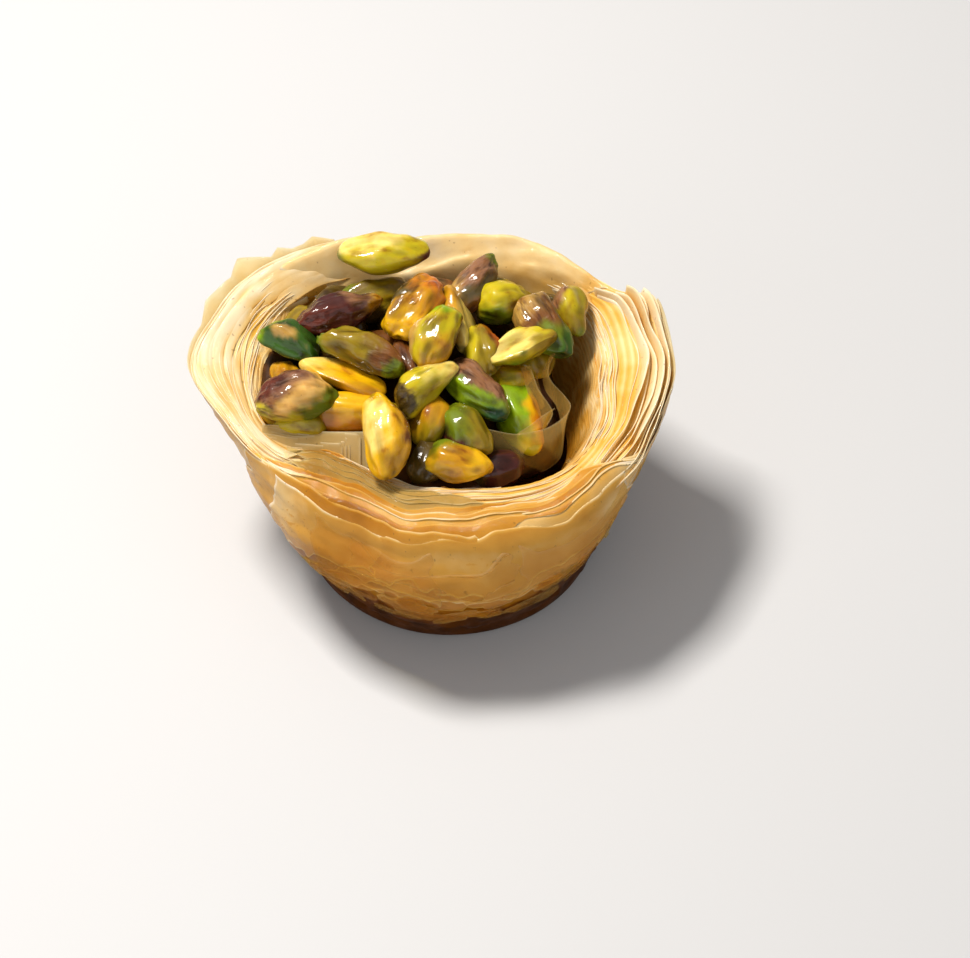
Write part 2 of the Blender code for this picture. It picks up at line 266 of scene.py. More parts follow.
def fan(border, centre):
    """A triangle from each step of a border to the centre, all as vertex numbers."""
    return [(int(a), int(b), centre) for a, b in zip(border[:-1], border[1:])]


def show(name, data):
    made = bpy.data.objects.new(name, data)
    bpy.context.scene.collection.objects.link(made)
    return made


def mesh_object(name, points, faces, look):
    data = bpy.data.meshes.new(name)
    data.from_pydata(points, [], faces)
    data.materials.append(look)
    data.shade_smooth()
    return show(name, data)


def store(made, name, values, kind="FLOAT", field="value"):
    """Keeps a value for each vertex, for the material to read."""
    layer = made.data.attributes.new(name, kind, "POINT")
    layer.data.foreach_set(field, np.asarray(values, np.float32).ravel())


class Batch:
    """Thin sheets gathered into one mesh. Each vertex keeps how baked and how soaked it is."""

    def __init__(self):
        self.points, self.quads, self.bake, self.soak = [], [], [], []
        self.count = 0

    def add(self, points, quads, bake, soak):
        self.points.append(points.reshape(-1, 3))
        self.quads.append(quads + self.count)
        self.bake.append(np.ravel(bake))
        self.soak.append(np.ravel(soak))
        self.count += points.size // 3

    def sheet(self, grid, thickness, bake, soak, loop=False):
        """A closed thin solid about a grid of points (along, up, 3)."""
        n, m = grid.shape[:2]
        ahead = np.roll(grid, -1, 0) - np.roll(grid, 1, 0) if loop else np.gradient(grid, axis=0)
        normal = np.cross(ahead, np.gradient(grid, axis=1))
        normal /= np.maximum(np.linalg.norm(normal, axis=-1, keepdims=True), 1e-12)
        half = normal * thickness / 2
        index = closed_index(n, m) if loop else np.arange(n * m).reshape(n, m)
        front = grid_faces(index)
        borders = [(index[:-1, 0], index[1:, 0]), (index[1:, -1], index[:-1, -1])]
        if not loop:
            borders += [(index[0, 1:], index[0, :-1]), (index[-1, :-1], index[-1, 1:])]
        sides = [np.stack((start, start + n * m, end + n * m, end), -1) for start, end in borders]
        both = np.ones((2, n, m))
        self.add(np.stack((grid + half, grid - half)),
                 np.vstack((front, front[:, ::-1] + n * m, *sides)), bake * both, soak * both)

    def build(self, name, look):
        made = mesh_object(name, np.vstack(self.points), np.vstack(self.quads), look)
        store(made, "bake", np.concatenate(self.bake))
        store(made, "soak", np.concatenate(self.soak))
        return made


# ---------------------------------------------------------------- materials


def srgb(red, green, blue):
    """A colour given as 0 to 255 steps, as linear RGBA."""
    linear = [v / 12.92 if v <= 0.04045 else ((v + 0.055) / 1.055) ** 2.4
              for v in (red / 255, green / 255, blue / 255)]
    return (*linear, 1.0)


class Nodes:
    """A material's node tree, with short ways to add what these materials use."""

    def __init__(self, name):
        self.material = bpy.data.materials.new(name)
        self.material.use_nodes = True
        self.tree = self.material.node_tree
        self.shader = self.tree.nodes["Principled BSDF"]
        self.place = self.add("TexCoord").outputs["Object"]

    def feed(self, node, inputs):
        """Links or sets a node's inputs, by name or number."""
        for key, value in inputs.items():
            if isinstance(value, bpy.types.NodeSocket):
                self.tree.links.new(value, node.inputs[key])
            else:
                node.inputs[key].default_value = value

    def add(self, kind, inputs=None, **settings):
        node = self.tree.nodes.new("ShaderNode" + kind)
        for key, value in settings.items():
            setattr(node, key, value)
        self.feed(node, inputs or {})
        return node

    def math(self, operation, a, b, clamp=False):
        return self.add("Math", {0: a, 1: b}, operation=operation, use_clamp=clamp).outputs[0]

    def plus(self, a, b):
        return self.math("ADD", a, b)

    def times(self, a, b, clamp=False):
        return self.math("MULTIPLY", a, b, clamp)

    def attribute(self, name, output="Fac"):
        return self.add("Attribute", attribute_name=name).outputs[output]

    def noise(self, size, detail=3.0, stretch=(1, 1, 1), place=None):
        """Noise from 0 to 1 with features about size apart."""
        spot = self.add("Mapping", {"Scale": stretch, "Vector": place or self.place}).outputs[0]
        return self.add("TexNoise", {"Scale": 1 / size, "Detail": detail, "Vector": spot}).outputs["Fac"]

    def ramp(self, value, *stops):
        """Colours blended between stops, each a value and a colour in 0 to 255 steps."""
        node = self.add("ValToRGB", {0: value})
        while len(node.color_ramp.elements) < len(stops):
            node.color_ramp.elements.new(1.0)
        for element, (place, colour) in zip(node.color_ramp.elements, stops):
            element.position = place
            element.color = srgb(*colour)
        return node.outputs["Color"]

    def mix(self, share, a, b, blend="MIX"):
        inputs = {0: share, 6: a, 7: b}
        return self.add("Mix", inputs, data_type="RGBA", blend_type=blend).outputs[2]

    def specks(self, colour, tone, share, size, above, place=None):
        """The colour with small specks of a tone, where fine noise passes a value."""
        speck = self.math("GREATER_THAN", self.noise(size, 1.0, place=place), above)
        return self.mix(self.times(speck, share), colour, srgb(*tone))

    def bump(self, height, strength, distance):
        inputs = {"Height": height, "Strength": strength, "Distance": distance}
        return self.add("Bump", inputs).outputs[0]

    def join(self, share, first, second):
        """Shades with a share of the second shader over the first."""
        both = self.add("MixShader", {0: share, 1: first, 2: second}).outputs[0]
        self.feed(self.tree.nodes["Material Output"], {"Surface": both})
        return both


FILO_TONES = ((0.0, (255, 243, 214)), (0.12, (250, 224, 164)), (0.27, (232, 184, 84)),
              (0.5, (204, 142, 34)), (0.75, (120, 66, 12)), (1.0, (38, 17, 5)))
FILM_TONES = ((0.0, (255, 243, 205)), (0.25, (226, 204, 136)), (0.5, (196, 160, 80)),
              (1.0, (130, 80, 26)))
SCRAP_TONES = ((0.0, (255, 244, 214)), (0.3, (250, 224, 160)), (0.6, (232, 180, 88)),
               (1.0, (186, 122, 44)))


def filo_material(name, tones, through_light, see_through=0.0, gloss=0.75):
    """Filo that goes from cream through gold to caramel with its bake, under a film of syrup."""
    nodes = Nodes(name)
    uneven = nodes.times(nodes.math("SUBTRACT", nodes.noise(6 * MM, 4.0), 0.5), 0.30)
    bake = nodes.plus(nodes.attribute("bake"), uneven)
    colour = nodes.ramp(bake, *tones)
    soaked = nodes.mix(1.0, colour, srgb(250, 220, 130), "MULTIPLY")
    colour = nodes.mix(nodes.times(nodes.attribute("soak"), 0.9, clamp=True), colour, soaked)
    colour = nodes.specks(colour, (128, 76, 30), 0.4, 1.1 * MM, 0.745)
    wrinkles = nodes.times(nodes.noise(2.8 * MM, 3.0, (1, 1, 1.8)), 2.0)
    film = nodes.plus(nodes.noise(0.9 * MM, 4.0), wrinkles)
    nodes.feed(nodes.shader, {
        "Base Color": colour,
        "Roughness": nodes.plus(nodes.times(nodes.noise(3 * MM), 0.3), 0.3),
        "Specular IOR Level": 0.25 * gloss,
        "Coat Weight": gloss,
        "Coat Roughness": 0.07,
        "Coat IOR": 1.38,
        "Normal": nodes.bump(nodes.noise(0.5 * MM), 0.3, 0.08 * MM),
        "Coat Normal": nodes.bump(film, 0.9, 0.32 * MM),
    })
    paleness = nodes.math("SUBTRACT", 0.6, nodes.times(bake, 0.72), clamp=True)
    glow = nodes.add("BsdfTranslucent", {"Color": nodes.mix(paleness, colour, srgb(255, 244, 214))})
    lit = nodes.join(through_light, nodes.shader.outputs[0], glow.outputs[0])
    if see_through:
        clear = nodes.add("BsdfTransparent", {"Color": srgb(252, 244, 206)})
        nodes.join(see_through, lit, clear.outputs[0])
    return nodes.material


def kernel_material(name):
    """Pistachio flesh and skin, coloured by the tint attribute, under a thick glaze.

    The grain attribute is a place in mm in the kernel's own directions, x along it."""
    nodes = Nodes(name)
    skin = nodes.attribute("skin")
    grain = nodes.attribute("grain", "Vector")
    lengthwise = (0.25, 1, 1)
    mottle = nodes.ramp(nodes.noise(2.6, 5.0, (0.6, 1, 1), grain), (0.28, (176, 130, 66)),
                        (0.42, (244, 232, 200)), (0.56, (255, 255, 255)), (0.74, (255, 232, 170)))
    colour = nodes.mix(0.85, nodes.attribute("tint", "Color"), mottle, "MULTIPLY")
    vein = nodes.ramp(nodes.noise(1.1, 3.0, lengthwise, grain),
                      (0.36, (120, 84, 40)), (0.47, (255, 255, 255)))
    colour = nodes.mix(nodes.times(skin, 0.6), colour, nodes.mix(1.0, colour, vein, "MULTIPLY"))
    wrinkle = nodes.times(nodes.noise(1.0, 4.0, lengthwise, grain), nodes.plus(skin, 0.06))
    glaze = nodes.plus(nodes.times(wrinkle, 0.6), nodes.noise(1.1, 2.0, (0.7, 1, 1), grain))
    nodes.feed(nodes.shader, {
        "Base Color": nodes.specks(colour, (92, 62, 20), 0.35, 0.6, 0.77, grain),
        "Roughness": 0.45,
        "Specular IOR Level": 0.15,
        "Subsurface Weight": 0.1,
        "Subsurface Radius": (1.0, 0.7, 0.2),
        "Subsurface Scale": 1.2 * MM,
        "Coat Weight": 0.9,
        "Coat Roughness": 0.03,
        "Coat IOR": 1.4,
        "Normal": nodes.bump(wrinkle, 0.9, 0.5 * MM),
        "Coat Normal": nodes.bump(glaze, 0.6, 0.2 * MM),
    })
    return nodes.material


def syrup_and_shade_material():
    """Dark amber syrup as it lies deep between the kernels; its darkness is partly painted shade in the gaps.
    """
    nodes = Nodes("syrup")
    nodes.feed(nodes.shader, {
        "Base Color": nodes.ramp(nodes.noise(4 * MM), (0.35, (30, 16, 4)), (0.7, (92, 52, 12))),
        "Roughness": 0.5,
        "Specular IOR Level": 0.15,
        "Coat Weight": 0.25,
        "Coat Roughness": 0.1,
        "Normal": nodes.bump(nodes.noise(2.5 * MM), 0.6, 0.6 * MM),
    })
    return nodes.material


def droplet_material():
    """Clear syrup beads."""
    nodes = Nodes("syrup_drop")
    nodes.feed(nodes.shader, {"Base Color": srgb(255, 236, 190), "Roughness": 0.03,
                              "Transmission Weight": 0.9, "IOR": 1.4})
    return nodes.material


def floor_material():
    nodes = Nodes("floor")
    nodes.feed(nodes.shader, {"Base Color": (0.55, 0.55, 0.56, 1), "Roughness": 0.6})
    return nodes.material


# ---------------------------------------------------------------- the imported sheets

SHEET = 0.15 * MM
CREAM, GOLD, AMBER, DARK = 0.02, 0.22, 0.40, 0.95
BUNDLES = 10
FOOT_RADIUS = 28.6 * MM
SIDE_RINGS, RIM_RINGS, CAVITY_RINGS = 24, 36, 12


def bundle_phase(angle, through):
    return math.tau * BUNDLES * through + 3.0 * noise(round_the_cup(angle, 0.0), 26 * MM, 2)


def rim_shape(angle, through):
    """How far (mm) the rim stands above its lips."""
    form = periodic(RIM_FORM, angle)
    return form[DOME] * hump(through) - form[SINK] * np.clip(1 - through, 0, 1) ** 3


def rim_top(angle, through):
    """How high the rim reaches, as a share of the wall's height."""
    gather = periodic(RIM_FORM, angle)[GATHER]
    folds = noise(round_the_cup(angle, 9 * through * MM), 2.6 * MM, 3)
    crest = gather * (0.6 * np.sin(bundle_phase(angle, through)) + 0.35 * folds)
    return 1 + (rim_shape(angle, through) + crest) * MM / LIP_HEIGHT


def height_bake(points, seed):
    """The outer face is pale at the top and browns towards the base it was baked on."""
    angle = np.arctan2(points[..., 1], points[..., 0])
    ragged = 2.6 * rough(points * (1, 1, 1.8), 8 * MM, 4, seed)
    above = points[..., 2] / MM - caramel_line(angle) + ragged
    brown = 0.17 * smooth(1.5, -1, above) + 0.34 * smooth(-1, -10, above)
    return GOLD + (AMBER - GOLD) * smooth(14, 3, above) + brown


def body():
    """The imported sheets: flat base, outer face, the rim between the sheets that stand out, cavity."""
    angle = np.linspace(0, math.tau, 360, endpoint=False)
    depth = periodic(RIM_FORM, angle)[DEPTH] * MM / LIP_HEIGHT
    leafy = 0.9 * MM / LIP_HEIGHT * between(angle, -30, -8, 30, 42)
    shares = np.linspace(0.93, 0.05, RIM_RINGS)
    rings = [polar(angle, FOOT_RADIUS, 0.0)]
    rings += [wall_point(angle, 0.96, up) for up in np.linspace(0.03, 0.9, SIDE_RINGS)]
    for through in shares:
        up = rim_top(angle, through) - depth - leafy * smooth(0.47, 0.56, through)
        rings.append(wall_point(angle, through, up))
    rings += [wall_point(angle, 0.04, up) for up in np.linspace(0.9, 0.0, CAVITY_RINGS)]
    grid = np.stack(rings, 1)
    n, m = grid.shape[:2]
    shown = smooth(1.5 * MM, 5 * MM, grid[..., 2]) * (np.arange(m) < SIDE_RINGS)
    folds = 0.8 * MM * rough(grid * (1, 1, 2.6), 5 * MM, 4, 3) - 0.5 * MM
    grid = grid + outward(grid) * (folds * shown)[..., None]
    index = closed_index(n, m)
    centres = np.array(((0, 0, 0), (*(CAVITY_CENTRE[:2] * 0.4), FLOOR_HEIGHT)))
    faces = grid_faces(index).tolist() + fan(index[::-1, 0], n * m) + fan(index[:, -1], n * m + 1)
    made = mesh_object("filo_body", np.vstack((grid.reshape(-1, 3), centres)), faces, CARAMEL)
    bake = np.maximum(height_bake(grid, 5), 0.6)
    # The rim fill is drawn deeper in tone in the valleys between the bundles: painted shade between the
    # sheets.
    valley_shade = 0.5 - 0.5 * np.sin(bundle_phase(angle[:, None], shares[None, :]))
    rim = slice(1 + SIDE_RINGS, 1 + SIDE_RINGS + RIM_RINGS)
    bake[:, rim] = 0.15 + 0.12 * valley_shade + 0.10 * noise(grid[:, rim], 5 * MM, 6)
    store(made, "bake", np.append(bake.ravel(), (DARK, AMBER)))
    store(made, "soak", np.full(n * m + len(centres), 0.25))
    return made


# ---------------------------------------------------------------- the sheets along the rim

RIM_ROWS = np.array((0.0, 0.3, 0.55, 0.75, 0.9, 1.0))


def inside_the_corner(angle):
    """The long sheets use less of the wall where leaves or smooth drapes take the outer part."""
    degrees = np.degrees(angle) % 360
    right = 1 - 0.52 * smooth(58, 30, degrees)
    front = 1 - 0.36 * smooth(196, 224, degrees) - 0.16 * smooth(300, 350, degrees)
    return np.where(degrees < 150, right, front)


def gathered(angle, through):
    """A sheet's share through the wall, drawn towards the bundle it sticks to."""
    gather = periodic(RIM_FORM, angle)[GATHER]
    return through + 0.95 * gather * np.sin(bundle_phase(angle, through)) / (math.tau * BUNDLES)


def rim_sheet(batch, number, through, start, end, rise=0.0, stand=0.0, step=0.75, widen=None,
              narrowed=False):
    """One upright sheet of the rim, at a share through the wall, between two angles in degrees.

    rise (mm) lifts its edge, stand (mm) carries its foot further down, step is the width of its
    faces in degrees, widen gives how far (mm) its edge stands out at an angle, and a narrowed sheet
    keeps inside the leaves and the drapes."""
    angle = np.radians(np.linspace(start, end, max(6, int((end - start) / step))))[:, None]
    part = RIM_ROWS[None, :]
    form = periodic(RIM_FORM, angle)
    lane = round_the_cup(angle, number * 0.013)
    place = through * (inside_the_corner(angle) if narrowed else np.ones_like(angle))
    place = gathered(angle, place + 0.02 * noise(lane, 15 * MM, 11))
    edge = noise(lane, 16 * MM, 4) + 0.35 * noise(lane, 5 * MM, 5) + 0.12 * noise(lane, 1.8 * MM, 6)
    edge = form[UNEVEN] * edge + rise
    if stand == 0:
        edge = edge - 1.2 * (1 - inside_ends(course(angle), 0.12))
    up = rim_top(angle, place) + (edge - (form[DEPTH] + stand + 1.6) * (1 - part)) * MM / LIP_HEIGHT
    near = round_the_cup(angle, place * 17 * MM)
    out = form[WAVE] * (0.7 * noise(near, 8 * MM, 7) + 0.3 * noise(lane, 5 * MM, 8)) * part
    out = out + 0.55 * noise(lane, 10 * MM, 9) * part ** 3
    if widen is not None:
        out = out + widen(angle) * part ** 2
    points = wall_point(angle, place, up) + polar(angle, 1.0, 0.0) * (out * MM)[..., None]
    tone = 0.5 + 0.5 * noise(lane, 22 * MM, 10)
    # Cream and less soaked at the top edge, deeper towards the foot in the gaps between the sheets: painted
    # highlight along the edges and painted shade in the gaps; the tone also varies at random.
    bake = CREAM + 0.14 * tone * (1 - part ** 3) + 0.12 * (1 - part) ** 2
    batch.sheet(points, SHEET, bake, np.clip(0.1 + 0.4 * tone - 0.4 * part ** 4, 0, 1))


# The thin upright sheets: share through the wall, start and end angle.
RIM_SHEETS = (
    (0.02, 138, 236), (0.06, 132, 250), (0.10, 126, 330), (0.14, 134, 240), (0.18, 128, 262),
    (0.23, 136, 331), (0.28, 142, 236), (0.34, 138, 222), (0.41, 140, 327), (0.50, 116, 222),
    (0.58, 140, 330), (0.69, 122, 208), (0.75, 136, 218), (0.84, 112, 206), (0.88, 120, 210),
    (0.92, 110, 204), (0.96, 116, 206), (0.03, -31, 48), (0.07, -32, 54), (0.11, -31, 50),
    (0.16, -30, 60), (0.21, -32, 52), (0.26, -31, 57), (0.31, -30, 50), (0.36, -32, 55),
    (0.42, -31, 48), (0.47, -30, 52), (0.02, 204, 300), (0.15, 250, 331), (0.20, 268, 329),
    (0.33, 262, 332), (0.50, 276, 330), (0.60, 256, 331),
)


def long_rim(*batches):
    """The thin sheets whose upright edges run along the rim, dealt out among the batches."""
    for k, (share, start, end) in enumerate(RIM_SHEETS):
        rise = 0.55 if share > 0.3 and 90 < start < 200 else 0.0
        rim_sheet(batches[k % len(batches)], k, share, start, end, rise, narrowed=True)


# The tall leaves on the right: share through the wall, start and end angle, rise.
LEAVES = (
    (0.44, -31, 34.0, 0.0),
    (0.51, -30, 36.0, 1.4),
    (0.59, -29, 31.0, 0.2),
    (0.66, -30, 32.0, 0.7),
    (0.73, -31, 31.0, 1.7),
    (0.80, -28, 29.0, 0.2),
    (0.87, -29, 29.5, 0.9),
    (0.93, -31, 27.5, 0.0),
)


def right_leaves(batch):
    """Upright leaves that fan out from the right-hand pinch; the outer ones end in tall corners."""
    for k, row in enumerate(LEAVES):
        rim_sheet(batch, 80 + k, *row, stand=4.0, step=0.7,
                  widen=lambda angle, k=k: 0.1 + 0.7 * np.sin(6 * angle + 0.6 + 0.5 * k))


# The torn corners of the left side's outermost sheet: angle, and how far the edge stands out.
CORNERS = ((121, -0.6), (125, 1.8), (128, 0.3), (131, 0.0), (133, 1.8), (136, -0.2), (141, 3.6), (146, 0.5),
           (154, 2.0), (160, 0.0), (171, 0.2), (177, -0.3), (188, -0.6))
# The outermost upright sheets, the first with the torn corners and the last two on the right: share
# through the wall, start and end angle, rise, how far their feet go down and the width of a face.
OUTERMOST = (
    (1.0, 121, 188, 0.8, 4.0, 0.5),
    (0.93, 110, 192, 0.2, 3.0, 0.6),
    (0.97, 112, 178, 0.0, 3.0, 0.6),
    (0.99, -34, 30, -0.5, 7.0, 0.7),
    (0.96, -33, 26, 0.2, 5.0, 0.7),
)


def torn_corners(angle):
    return np.interp(np.degrees(angle), *zip(*CORNERS))


def outermost(batch):
    for k, row in enumerate(OUTERMOST):
        rim_sheet(batch, 140 + k, *row, widen=torn_corners if k == 0 else None)


# Broad flattened folds along the rim: share through the wall, width, start and end angle.
FOLDS = (
    (0.40, 2.4, 112, 216),
    (0.56, 3.6, 100, 226),
    (0.76, 3.4, 98, 218),
    (0.90, 1.8, 104, 208),
    (0.66, 2.0, 132, 190),
    (0.30, 1.6, 158, 230),
    (0.48, 1.8, 182, 232),
    (0.30, 3.4, 104, 160),
    (0.13, 2.6, 110, 156),
    (0.20, 2.4, 186, 226),
    (0.42, 3.0, 178, 242),
    (0.24, 2.2, 24, 62),
    (0.44, 2.2, 26, 64),
)


def rim_fold(batch, number, through, width, start, end):
    """One flattened fold of filo along the rim, tucked in at both sides and puffed up between."""
    angle = np.radians(np.arange(start, end, 0.9))[:, None]
    across = np.linspace(0, 1, 15)[None, :]
    lane = round_the_cup(angle, number * 0.017)
    taper = inside_ends(course(angle), 0.25)
    wide = width * MM / wall_thickness(angle) * (0.15 + 0.85 * taper)
    wide = wide * (1 + 0.5 * noise(lane, 10 * MM, 20))
    centre = through * inside_the_corner(angle)
    centre = centre + 0.06 * noise(lane, 17 * MM, 21) + 0.02 * noise(lane, 6 * MM, 19)
    place = centre + wide * (0.5 - across)
    flow = round_the_cup(angle, place * 60 * MM)
    crumpled = round_the_cup(angle, place * 14 * MM)
    crease = noise(flow, 7 * MM, 22) + 0.6 * noise(flow * 2.1, 7 * MM, 24)
    crumple = rough(crumpled, 4 * MM, 2, 23) * (0.25 + 0.75 * smooth(150, 128, np.degrees(angle)))
    puff = np.sin(math.pi * across) ** 0.6 * (0.3 + 0.7 * taper)
    height = 0.05 + 0.25 * through + (0.10 * width + 0.22 * crease + 0.35 * crumple) * puff
    height = height - 0.9 * (1 - taper) + rim_shape(angle, place)
    inner = smooth(0.45, 0.15, place)
    # More baked and more soaked towards the tucked sides, where puff falls off: painted shade in the valleys
    # between the folds.
    bake = 0.03 + 0.12 * (1 - puff) + 0.07 * noise(crumpled, 6 * MM, 25) - 0.08 * crease + 0.06 * inner
    batch.sheet(wall_point(angle, place, 1 + height * MM / LIP_HEIGHT), SHEET, bake,
                0.12 + 0.3 * (1 - puff) + 0.2 * inner)


# ---------------------------------------------------------------- the smooth sheets


def over_the_rim(angle, reach):
    """A place on the wall by how far (m) it lies past the lip: below 0 it is on the outer face, then
    it crosses the rim, and beyond the wall's thickness it goes down into the cavity."""
    bend = 1.6 * MM
    spot = np.broadcast_to(angle, reach.shape)
    thickness = wall_thickness(spot)
    below = bend * np.logaddexp(0, -reach / bend)
    inside = bend * np.logaddexp(0, (reach - thickness) / bend)
    through = 1 - (reach + below - inside) / thickness
    dome = periodic(RIM_FORM, spot)[DOME] * MM * hump(through)
    return wall_point(spot, through, 1 + (dome + 0.4 * MM - below - inside) / LIP_HEIGHT)


# Smooth sheets on the outer face: start and end angle, how far down their lower edge hangs (0 at the
# lip, 1 where the foot turns to caramel, below 0 inside the lip), how far their upper edge reaches in
# past the lip (or, if negative, stops short of it), how far they stand off, how ragged their lower
# edge is, and how much they narrow at the ends, 0 to 1.
DRAPES = (
    (0, 100, 1.02, -12, 0.10, 2.2, 0.7),
    (84, 192, 1.02, -12, 0.10, 2.2, 0.7),
    (176, 268, 1.04, -11, 0.10, 2.4, 0.7),
    (254, 366, 1.04, -10, 0.14, 2.4, 0.7),
    (18, 116, 0.85, -2, 0.22, 2.4, 0.7),
    (98, 206, 0.85, -2, 0.22, 2.4, 0.7),
    (190, 272, 0.95, 2.5, 0.22, 2.4, 0.7),
    (300, 394, 0.92, -2, 0.25, 2.4, 0.7),
    (203, 334, 0.10, 8.2, 0.54, 1.0, 0.75),
    (262, 337, 0.10, 7.4, 0.63, 1.0, 0.85),
    (206, 331, 0.86, 6.7, 0.73, 2.2, 0.75),
    (276, 337, 0.20, 5.9, 0.83, 1.0, 0.9),
    (205, 318, 0.15, 5.2, 1.00, 1.0, 0.75),
    (284, 338, 0.20, 4.4, 1.07, 1.0, 0.9),
    (210, 333, 0.80, 3.6, 1.14, 2.4, 0.75),
    (288, 338, 0.25, 2.9, 1.21, 1.0, 0.9),
    (206, 284, 0.62, 2.1, 1.28, 2.2, 0.7),
    (244, 331, 0.70, 0.9, 1.34, 2.2, 0.7),
    (208, 250, 0.80, 0.3, 1.40, 2.2, 0.7),
    (-34, 30, 0.85, -1, 0.50, 2.4, 0.7),
    (140, 200, 0.70, -1, 0.50, 2.4, 0.7),
    (196, 240, 0.70, 0.5, 1.26, 2.2, 0.7),
)
# The smooth cap over the back of the rim, in the same measures.
CAPS = ((34, 134, 0.30, 24.0, 1.10, 1.0, 0.0),)
# Clearer sheets at the front of the cavity, in the same measures.
FRONT_FILMS = (
    (206, 290, -0.55, 13.6, 0.16, 0.6, 0.75),
    (203, 300, -0.45, 12.3, 0.26, 0.6, 0.75),
    (208, 284, -0.35, 11.0, 0.36, 0.6, 0.75),
    (204, 305, -0.25, 9.6, 0.46, 0.6, 0.75),
)
# Clear scraps on the outer face, of which mostly the pale torn edges show, in the same measures.
PATCHES = (
    (226, 266, 0.95, -3.0, 1.60, 2.2, 0.6),
    (240, 292, 0.80, -6.0, 1.60, 2.2, 0.6),
    (290, 328, 0.95, -4.0, 1.65, 2.6, 0.6),
    (-22, 20, 0.90, -4.0, 0.90, 2.4, 0.6),
    (110, 170, 0.90, -4.0, 0.70, 2.4, 0.6),
)


def drape_relief(points, angle, reach, over, back):
    """How far (mm) a smooth sheet swells and creases, most at the sides and over the back."""
    creased = 1 - between(angle, 215, 250, 300, 330)
    return (0.40 * noise(points * (1, 1, 1.6), 13 * MM, 50)
            + 0.16 * rough(points * (1, 1, 3), 5 * MM, 3, 51)
            + 0.30 * creased * noise(points * (1, 1, 3.5), 7 * MM, 52)
            + 0.10 * (0.3 + creased) * rough(points * (1, 1, 2.2), 2.6 * MM, 2, 56)
            + (0.5 + 0.6 * over) * back * rough(round_the_cup(0.35 * angle, reach), 5 * MM, 2, 55))


def drape(batch, number, start, end, low, past, stand, torn, narrow, tuck=0.0, pale=0.24):
    """One smooth sheet over the outer face and the rim.

    tuck (mm) sinks its two ends and pale is how much paler its edges are drawn, a painted highlight along
    them."""
    angle = np.radians(np.linspace(start, end, int((end - start) / 0.95)))[:, None]
    middle = course(angle)
    foot = periodic(OUTER_FACE, angle)[-1] - caramel_line(angle)
    rows = int(7 + 0.75 * (20 * low + past))
    lip = 0.25 / (foot.mean() * low + past)
    ends = np.array((0.0, lip, 2 * lip))
    part = np.concatenate((ends, np.linspace(0.06, 0.94, rows), 1 - ends[::-1]))[None, :]
    spot = round_the_cup(angle, number * 0.05)
    tabs = smooth(-0.1, 0.1, noise(spot, 5 * MM, 41)) - 0.5
    bottom = -low * foot + torn * (rough(spot, 12 * MM, 4, 40) + 0.7 * tabs)
    shared = round_the_cup(angle, past * 0.5 * MM)
    top = past * (1 - narrow * (1 - inside_ends(middle, 0.22)))
    top = top + 0.8 * rough(shared, 12 * MM, 3, 44) + 0.4 * rough(spot, 9 * MM, 3, 45)
    reach = (bottom + (top - bottom) * part) * MM
    upright = np.stack(np.broadcast_arrays(part * NOISE_RING, number * 0.05, 0 * angle), -1)
    turned = angle + np.radians(4.5) * rough(upright, 14 * MM, 3, 47) * np.abs(2 * middle - 1) ** 3
    points = over_the_rim(turned, reach)
    over = smooth(-3 * MM, 2.5 * MM, reach)
    back = between(angle, 20, 50, 130, 160)
    inside = np.minimum(part, 1 - part) * (top - bottom)
    hug = 0.4 + 0.6 * over
    sides = inside_ends(middle, 0.03) * smooth(0.0, 0.8, inside)
    off = hug * (stand + 0.05 * noise(points, 5 * MM, 53 + number) - 0.13 * (1 - sides))
    off = off - tuck * (1 - inside_ends(middle, 0.14)) + 0.5 * over
    off = off + drape_relief(points, angle, reach, over, back)
    facing = outward(points) * (1 - over[..., None]) + np.array((0, 0, 1)) * over[..., None]
    points = points + facing * (off * MM)[..., None]
    edge = 1 - smooth(0.1, 0.55, inside) * inside_ends(middle, 0.012)
    front, left = between(angle, 200, 225, 315, 340), between(angle, 205, 222, 236, 262)
    amber = (0.02 + 0.05 * (number % 3) + 0.06 * front - 0.07 * back) * over
    # The back term deepens the inner face past the lip towards amber: painted glow of light shining through
    # the filo.
    amber = amber + 0.13 * left + 0.07 * back * smooth(6, 16, reach / MM)
    tone = 0.07 * math.sin(2.4 * number) + 0.10 * noise(spot, 18 * MM, 54)
    # Paler and less soaked along the edges (pale * edge): painted highlight along the sheet's edges.
    bake = height_bake(points, 60) - pale * edge + amber + tone
    soak = np.clip(0.35 - 0.3 * edge + 0.3 * bake - 0.3 * back, 0, 1)
    batch.sheet(points, SHEET * 1.2, bake, soak)


# ---------------------------------------------------------------- scraps, stack, cavity and curl

# The flakes: how many, how many of them lie near the spots at the front, those spots' angles, and
# the radius by which their width is turned into an angle.
FLAKES, FRONT_FLAKES = 46, 30
FLAKE_SPOTS = (222, 238, 318, 332, 268, 296)
FLAKE_RADIUS = 37 * MM
# The sheets of the front stack along x: where all of them start and where each one ends.
STACK_START = -36.5
STACK_ENDS = (-15.8, -17.2, -19.2, -19.9, -20.7, -22.4, -25.0)


